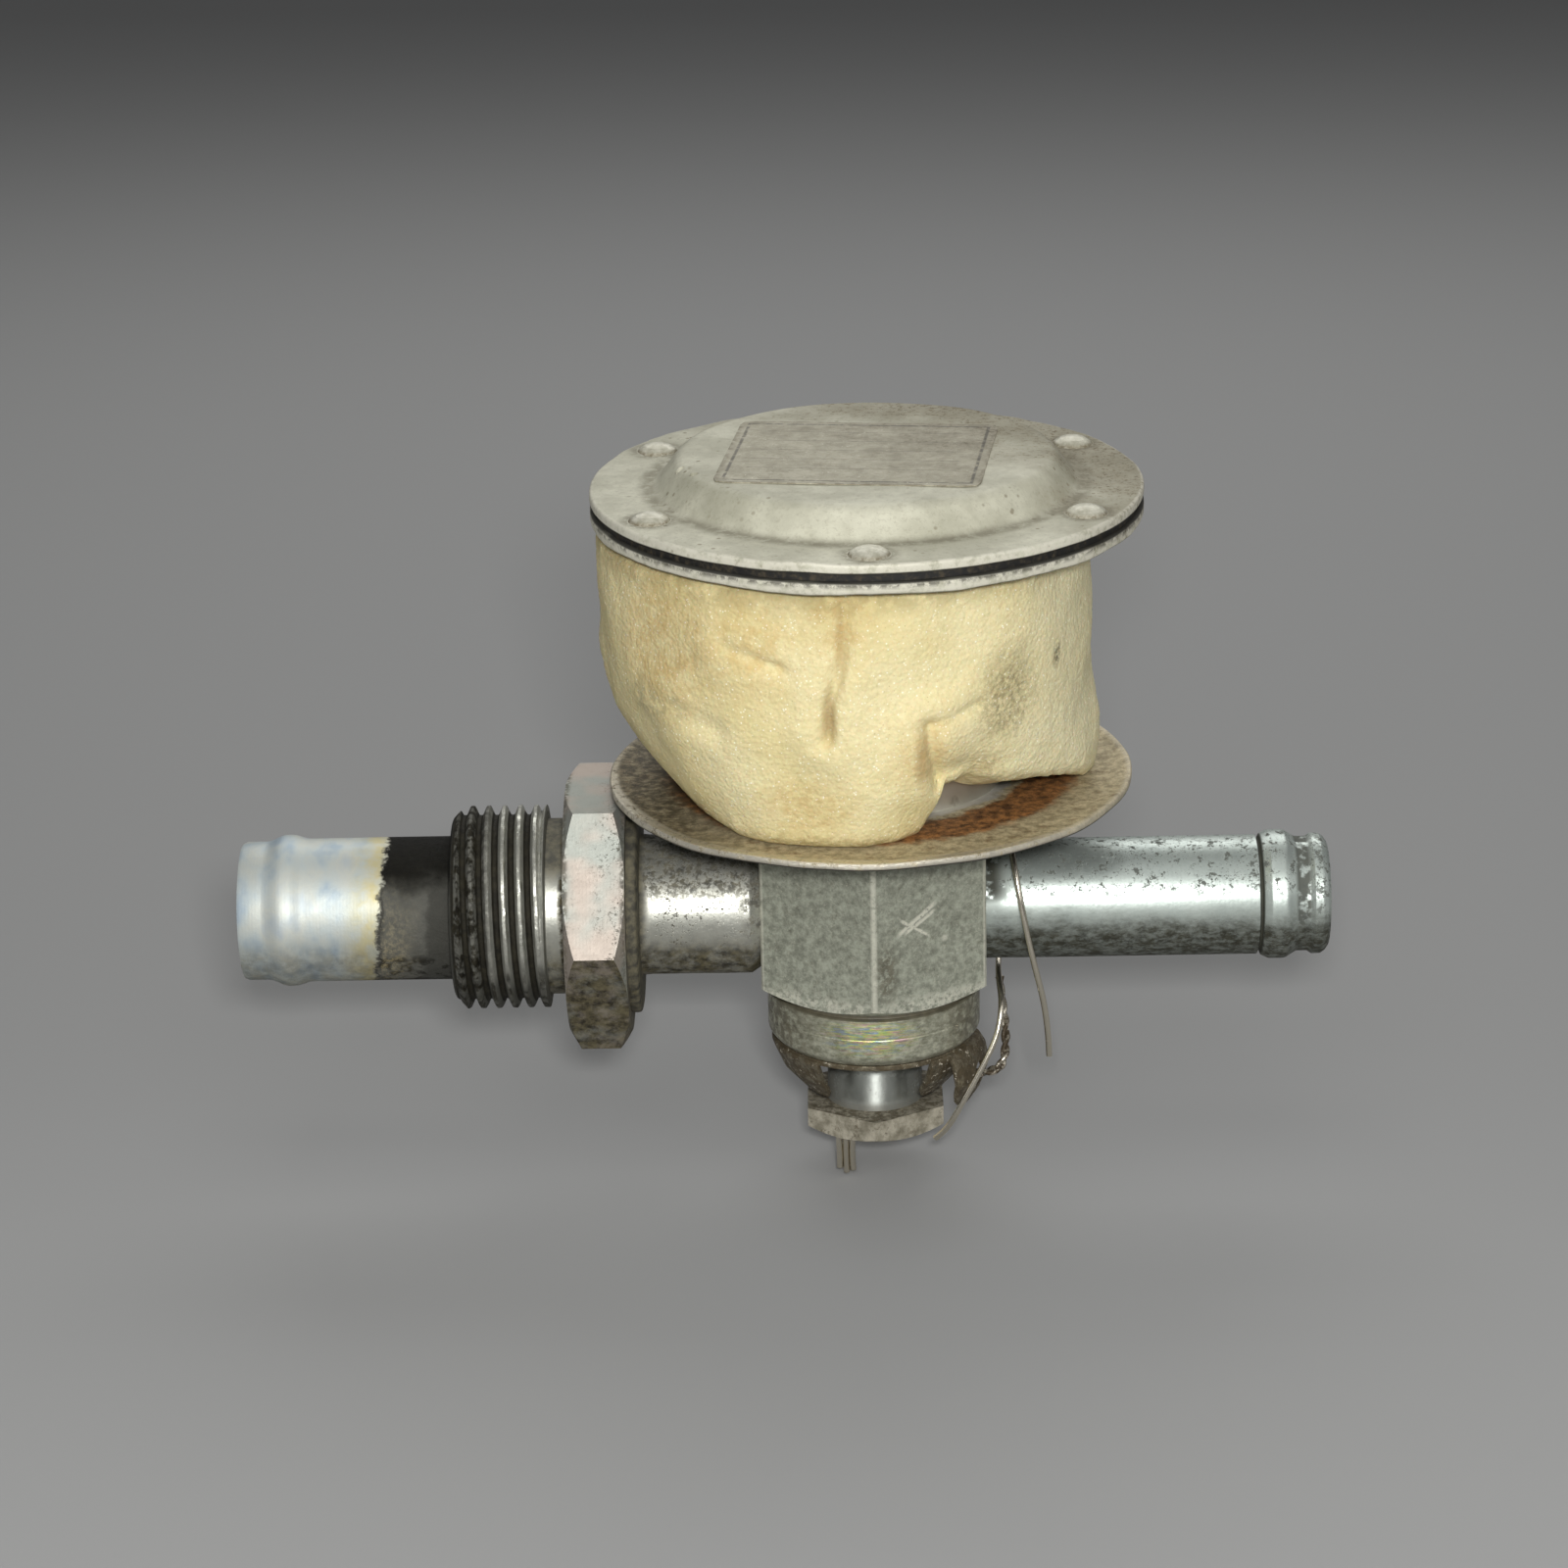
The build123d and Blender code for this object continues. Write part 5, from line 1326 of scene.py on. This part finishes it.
class VALVE_OT_lock_washer(bpy.types.Operator):
    """Adds the lock washer with its bent tabs and wire ear"""
    bl_idname = "valve.lock_washer"
    bl_label = "Lock washer"

    def execute(self, context):
        outline = eased([(-18.25, 7.0), (-18.25, 13.4), (-19.0, 13.4), (-19.0, 7.0)], 0.15)
        ring = spun("washer_ring", outline, VALVE_LINE, steps=96)
        side = ((-18.6, 12.6), (-18.8, 13.5), (-19.6, 13.2), (-22.0, 12.2), (-25.0, 9.55))
        back = ((-18.6, 12.6), (-18.8, 13.6), (-22.6, 12.8), (-26.8, 11.5))
        ear = ((-18.6, 12.6), (-18.9, 13.7), (-20.3, 14.5), (-22.8, 15.0), (-25.2, 14.2), (-26.9, 13.1))
        pieces = [ring, self.tab(side, 176, 120, 0.12), self.tab(side, 3, 120, 0.12)]
        pieces += [self.tab(back, 97, 40, 0.3), self.tab(ear, -23, 42, 0.7)]
        turn = radians(-22)
        clear_selection()
        bpy.ops.mesh.primitive_cylinder_add(
            vertices=32, radius=1.7 * MM, depth=6 * MM, rotation=(0, pi / 2, turn),
            location=in_metres((VALVE_X + 15 * cos(turn), 15 * sin(turn), -22.8)))
        cut(pieces[-1], bpy.context.object)
        sheet = joined(pieces, "lock_washer_sheet")
        settled(sheet, HOUSING, "washer_steel", washer_metal(), "lock_tab_washer", sharp=45)
        return {"FINISHED"}

    def tab(self, profile, middle, spread, roundness):
        """A strip of sheet that follows a profile of (height, radius) and is rounded at its free end."""
        clear_selection()
        bpy.ops.mesh.primitive_grid_add(x_subdivisions=36, y_subdivisions=30, size=1, location=(0, 0, 0))
        steps = np.diff(profile, axis=0)
        runs = np.append(0.0, np.hypot(*steps.T)).cumsum()
        heights, radii = np.array(profile).T

        def bent(places):
            across = places[:, 0] * MM * 2
            down = (places[:, 1] * MM + 0.5) * runs[-1]
            end_width = 1 - np.clip((down / runs[-1] - 0.45) / 0.55, 0, 1) ** 2.2
            narrow = 1 - roundness * (1 - np.sqrt(np.clip(end_width, 0, 1)))
            angle = radians(middle) + across * narrow * radians(spread / 2)
            radius = np.interp(down, runs, radii)
            z = np.interp(down, runs, heights)
            wave = roughened(np.c_[angle * 10, z, 0 * z], 4.0, 0.16, middle / 50)
            radius += wave * np.clip(down - 2, 0, 1)
            return np.c_[VALVE_X + radius * np.cos(angle), radius * np.sin(angle), z]

        piece = reshape(bpy.context.object, bent)
        modified(piece, "SOLIDIFY", thickness=0.72 * MM, offset=0)
        return bevelled(piece, 0.12, 40)


def wire_curve(name, points, radius):
    """A smooth bent wire through given points."""
    curve = bpy.data.curves.new(name, "CURVE")
    curve.dimensions = "3D"
    spline = curve.splines.new("NURBS")
    spline.points.add(len(points) - 1)
    for spot, point in zip(points, spline.points):
        point.co = (*in_metres(spot), 1.0)
    spline.order_u = 3
    spline.use_endpoint_u = True
    spline.resolution_u = 8
    curve.bevel_depth = radius * MM
    curve.bevel_resolution = 4
    curve.use_fill_caps = True
    wire = bpy.data.objects.new(name, curve)
    bpy.context.scene.collection.objects.link(wire)
    choose(wire)
    bpy.ops.object.convert(target="MESH")
    return bpy.context.object


# Routes of the wires, in millimetres.
LOOP_ROUTE = (
    (63.4, -9.0, -19.0), (63.2, -9.5, -13.0), (61.0, -9.9, -4.0), (59.3, -9.3, 5.0), (58.5, -4.8, 9.9),
    (58.1, 3.2, 10.2), (57.8, 9.4, 5.0), (57.6, 9.7, -3.0), (57.3, 4.8, -9.3), (56.9, -2.6, -10.0),
    (57.3, -6.9, -12.2), (56.6, -8.6, -16.3), (54.3, -9.8, -20.5), (51.7, -10.6, -25.1),
    (49.7, -10.0, -29.2), (48.2, -9.1, -30.7))
TWIST_ROUTE = (
    (57.1, 0.5, -10.5), (57.6, -1.4, -14.4), (57.9, -4.2, -18.2), (57.5, -6.6, -21.6),
    (54.7, -5.8, -22.9), (52.5, -4.9, -23.1))


class VALVE_OT_safety_wire(bpy.types.Operator):
    """Adds the safety wire: the loop round the tube, the twisted pair and the cut tail"""
    bl_idname = "valve.safety_wire"
    bl_label = "Safety wire"

    def execute(self, context):
        bright = wire_metal("wire_bright", 0.15)
        dirty = wire_metal("wire_dirty", 0.75)
        loop = wire_curve("lock_wire_loop_strand", LOOP_ROUTE, LOOP_WIRE_RADIUS)
        settled(loop, HOUSING, "wire_steel", bright, "lock_wire_loop", sharp=60)
        strands = [self.strand(TWIST_ROUTE, side) for side in (0, pi)]
        twist = joined(strands, "lock_wire_twist_pair")
        settled(twist, HOUSING, "wire_steel", dirty, "lock_wire_twist", sharp=60)
        tails = []
        for index, length in enumerate((5.0, 5.7, 5.4)):
            x = VALVE_X - 4.1 + (index - 1) * 0.82
            y = -6.0
            lean = (index - 1) * 0.1
            route = (
                (x, y, -29.2), (x, y, -30.4), (x + lean, y, -32.2),
                (x - lean * 0.3, y, HEAD_FOOT - length * 0.6), (x + 0.08 * index, y, HEAD_FOOT - length))
            tails.append(wire_curve("strand", route, TAIL_WIRE_RADIUS))
        tail = joined(tails, "lock_wire_tail_strands")
        settled(tail, ADJUSTER, "wire_steel", bright, "lock_wire_tail", sharp=60)
        return {"FINISHED"}

    def strand(self, route, side):
        """One wire of the twisted pair, wound about the middle line."""
        guide = wire_curve("guide", route, 0.0)
        spots = [Vector(v.co) / MM for v in guide.data.vertices]
        bpy.data.objects.remove(guide)
        points = []
        travelled = 0.0
        for before, spot, after in zip(spots, spots[1:], spots[2:]):
            travelled += (spot - before).length
            ahead = (after - before).normalized()
            side_a = ahead.orthogonal().normalized()
            side_b = ahead.cross(side_a)
            turn = side + travelled / PAIR_LAY * 2 * pi
            points.append(spot + (side_a * cos(turn) + side_b * sin(turn)) * PAIR_OFFSET)
        return wire_curve("strand", points[::2], PAIR_WIRE_RADIUS)


# Spring and diaphragm, in millimetres.
SPRING_RADIUS = 7.0
SPRING_WIRE_RADIUS = 0.7
SPRING_TURNS = 6
POINTS_IN_TURN = 24
DIAPHRAGM_UNDERSIDE = 55.7
DIAPHRAGM_TOP = 56.7
ROLL_RADIUS = 22.3
ROLL_HALF = 2.6
ROLL_RISE = 1.3
ROLL_THICKNESS = 0.55


class VALVE_OT_inner_parts(bpy.types.Operator):
    """Adds the spring and the diaphragm, and finishes the inner pieces"""
    bl_idname = "valve.inner_parts"
    bl_label = "Inner parts"

    def execute(self, context):
        steel = turned_metal("turned_steel", (168, 168, 164), (212, 212, 206), 0.22)
        brass = turned_metal("turned_brass", (166, 128, 62), (206, 168, 92), 0.24)
        spring = turned_metal("spring_steel", (96, 96, 94), (150, 150, 146), 0.3)
        rubber = old_rubber()
        sheet = turned_metal("cage_sheet", (196, 194, 184), (230, 228, 218), 0.42)
        finishes = {
            "valve_stem": steel, "poppet": steel, "poppet_nut": steel, "diaphragm_plate_lower": steel,
            "diaphragm_plate_upper": steel, "stem_nut": steel, "spring_seat": steel, "valve_seat": brass,
            "stem_guide": brass, "poppet_seal": rubber, "screw_o_ring": rubber, "filter_cage": sheet}
        for node, material in finishes.items():
            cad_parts[node].material_slots[0].material = material
        self.spring(spring)
        self.diaphragm(rubber)
        return {"FINISHED"}

    def spring(self, metal):
        """Two halves that meet at mid height."""
        low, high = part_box("main_spring")
        bottom = low.z / MM + SPRING_WIRE_RADIUS
        top = high.z / MM - SPRING_WIRE_RADIUS
        count = SPRING_TURNS * POINTS_IN_TURN
        middle = (bottom + top) / 2
        points = []
        for index in range(count + 1):
            turn = 2 * pi * index / POINTS_IN_TURN
            height = bottom + (top - bottom) * index / count
            points.append((VALVE_X + SPRING_RADIUS * cos(turn), SPRING_RADIUS * sin(turn), height))
        half = count // 2
        lower = wire_curve("main_spring_lower_coils", points[:half + 1], SPRING_WIRE_RADIUS)
        stretched(lower, CARRIER, middle, bottom, "spring_steel", metal, "main_spring")
        upper = wire_curve("main_spring_upper_coils", points[half:], SPRING_WIRE_RADIUS)
        stretched(upper, SPINDLE, middle, top, "spring_steel", metal, "main_spring")

    def diaphragm(self, rubber):
        """The clamped rim with half the roll, and the centre with the other half."""
        low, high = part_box("diaphragm")
        edge = (high.x - low.x) / 2 / MM
        outer = [(DIAPHRAGM_TOP + ROLL_RISE * cos(turn), ROLL_RADIUS + ROLL_HALF * sin(turn))
                 for turn in (pi / 2 * step / 8 for step in range(9))]
        under = [(z - ROLL_THICKNESS, r - 0.3 * (r - ROLL_RADIUS) / ROLL_HALF) for z, r in outer]
        rim_outline = outer + [(DIAPHRAGM_TOP, edge), (DIAPHRAGM_UNDERSIDE, edge)]
        rim_outline += [(DIAPHRAGM_UNDERSIDE, ROLL_RADIUS + ROLL_HALF)] + under[::-1]
        rim = spun("diaphragm_rim", rim_outline, VALVE_LINE, steps=160)
        settled(rim, HOUSING, "black_rubber", rubber, "diaphragm")

        def mirrored(points):
            return [(z, 2 * ROLL_RADIUS - r) for z, r in points]

        inner_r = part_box("valve_stem")[1].x / MM - VALVE_X + 0.03
        centre_outline = mirrored(outer) + [(DIAPHRAGM_TOP, inner_r), (DIAPHRAGM_UNDERSIDE, inner_r)]
        centre_outline += [(DIAPHRAGM_UNDERSIDE, ROLL_RADIUS - ROLL_HALF)] + mirrored(under)[::-1]
        centre = spun("diaphragm_centre", centre_outline, VALVE_LINE, steps=160)
        still_z = DIAPHRAGM_TOP + ROLL_RISE
        stretched(centre, SPINDLE, still_z, DIAPHRAGM_TOP, "black_rubber", rubber, "diaphragm")


# Lamps: name, place in millimetres, width and height in metres, and share of the key light's power.
LAMPS = (
    ("key_light", (50, -540, 246), 0.06, 0.04, 1.0),
    ("front_fill", (20, -600, 420), 0.5, 0.4, 0.36),
    ("left_fill", (-560, -260, 300), 0.4, 0.4, 0.14),
    ("right_fill", (600, -320, 300), 0.4, 0.4, 0.22),
    ("top_light", (20, -180, 680), 0.4, 0.4, 0.18),
    ("back_light", (60, 480, 420), 0.6, 0.3, 0.55),
)
LAMP_TARGET = (VALVE_X, 0, 20)


class VALVE_OT_stage(bpy.types.Operator):
    """Adds the camera, the pale floor and the lamps"""
    bl_idname = "valve.stage"
    bl_label = "Stage"

    def execute(self, context):
        stage = context.scene.valve_stage
        self.camera(context)
        self.floor(stage)
        for name, spot, width, height, share in LAMPS:
            self.lamp(name, spot, width, height, stage.key_power * share)
        world = bpy.data.worlds.new("studio")
        context.scene.world = world
        world.use_nodes = True
        background = world.node_tree.nodes["Background"]
        background.inputs["Color"].default_value = (0.80, 0.81, 0.83, 1)
        background.inputs["Strength"].default_value = 0.15
        context.scene.view_settings.view_transform = "Standard"
        return {"FINISHED"}

    def camera(self, context):
        """Stands the camera at the photograph's angle; angles in degrees, lengths in millimetres."""
        elevation, yaw, roll = radians(21.857), radians(-0.413), radians(1.267)
        turn_right, turn_up = radians(-1.1274), radians(1.5294)
        distance, focal_pixels, frame_pixels = 586.7, 4492.4, 1600
        away = Vector((sin(yaw) * cos(elevation), -cos(yaw) * cos(elevation), sin(elevation))) * distance
        forward = -away.normalized()
        right = forward.cross(Vector((0, 0, 1))).normalized()
        up = right.cross(forward)
        forward = (forward + tan(turn_right) * right + tan(turn_up) * up).normalized()
        right = forward.cross(Vector((0, 0, 1))).normalized()
        up = right.cross(forward)
        right, up = right * cos(roll) - up * sin(roll), up * cos(roll) + right * sin(roll)
        data = bpy.data.cameras.new("camera")
        data.sensor_width = 36
        data.lens = focal_pixels / frame_pixels * data.sensor_width
        data.clip_start = 0.01
        data.clip_end = 50
        camera = bpy.data.objects.new("camera", data)
        context.scene.collection.objects.link(camera)
        facing = Matrix((right, up, -forward)).transposed().to_4x4()
        camera.matrix_world = Matrix.Translation((away + Vector((VALVE_X, 0, 0))) * MM) @ facing
        context.scene.camera = camera

    def floor(self, stage):
        clear_selection()
        bpy.ops.mesh.primitive_plane_add(size=12, location=(VALVE_X * MM, 0, cad_low[2] - 0.0006))
        floor = bpy.context.object
        floor.name = "floor"
        finish = Finish("pale_floor")
        material = finish.done(tuple(stage.floor_colour), 0.9, Specular_IOR_Level=0.1)
        floor.data.materials.append(material)

    def lamp(self, name, spot, width, height, power):
        data = bpy.data.lights.new(name, "AREA")
        data.shape = "RECTANGLE"
        data.size = width
        data.size_y = height
        data.energy = power
        light = bpy.data.objects.new(name, data)
        bpy.context.scene.collection.objects.link(light)
        light.location = in_metres(spot)
        facing = in_metres(LAMP_TARGET) - light.location
        light.rotation_euler = facing.to_track_quat("-Z", "Y").to_euler()


STEPS = (
    VALVE_OT_stage, VALVE_OT_inlet_fitting, VALVE_OT_outlet_tube, VALVE_OT_valve_body, VALVE_OT_filter_plate,
    VALVE_OT_diaphragm_head, VALVE_OT_name_plate, VALVE_OT_foam_filter, VALVE_OT_adjusting_screw,
    VALVE_OT_lock_washer, VALVE_OT_safety_wire, VALVE_OT_inner_parts)
GROUPS = {
    "valve_hose_line": HoseLineSettings,
    "valve_head": HeadSettings,
    "valve_stage": StageSettings,
}


class VALVE_PT_panel(bpy.types.Panel):
    """Lists the pieces of the valve"""
    bl_idname = "VALVE_PT_panel"
    bl_label = "Vacuum regulating valve"
    bl_space_type = "VIEW_3D"
    bl_region_type = "UI"
    bl_category = "Valve"

    def draw(self, context):
        for group in GROUPS:
            settings = getattr(context.scene, group)
            for name in settings.__annotations__:
                self.layout.prop(settings, name)
        for step in STEPS:
            self.layout.operator(step.bl_idname)


def register():
    for group in GROUPS.values():
        bpy.utils.register_class(group)
    for name, group in GROUPS.items():
        setattr(bpy.types.Scene, name, bpy.props.PointerProperty(type=group))
    for step in STEPS:
        bpy.utils.register_class(step)
    bpy.utils.register_class(VALVE_PT_panel)


def unregister():
    bpy.utils.unregister_class(VALVE_PT_panel)
    for step in reversed(STEPS):
        bpy.utils.unregister_class(step)
    for name in GROUPS:
        delattr(bpy.types.Scene, name)
    for group in GROUPS.values():
        bpy.utils.unregister_class(group)


def main():
    register()
    for step in STEPS:
        category, name = step.bl_idname.split(".")
        getattr(getattr(bpy.ops, category), name)()


if __name__ == "__main__":
    main()
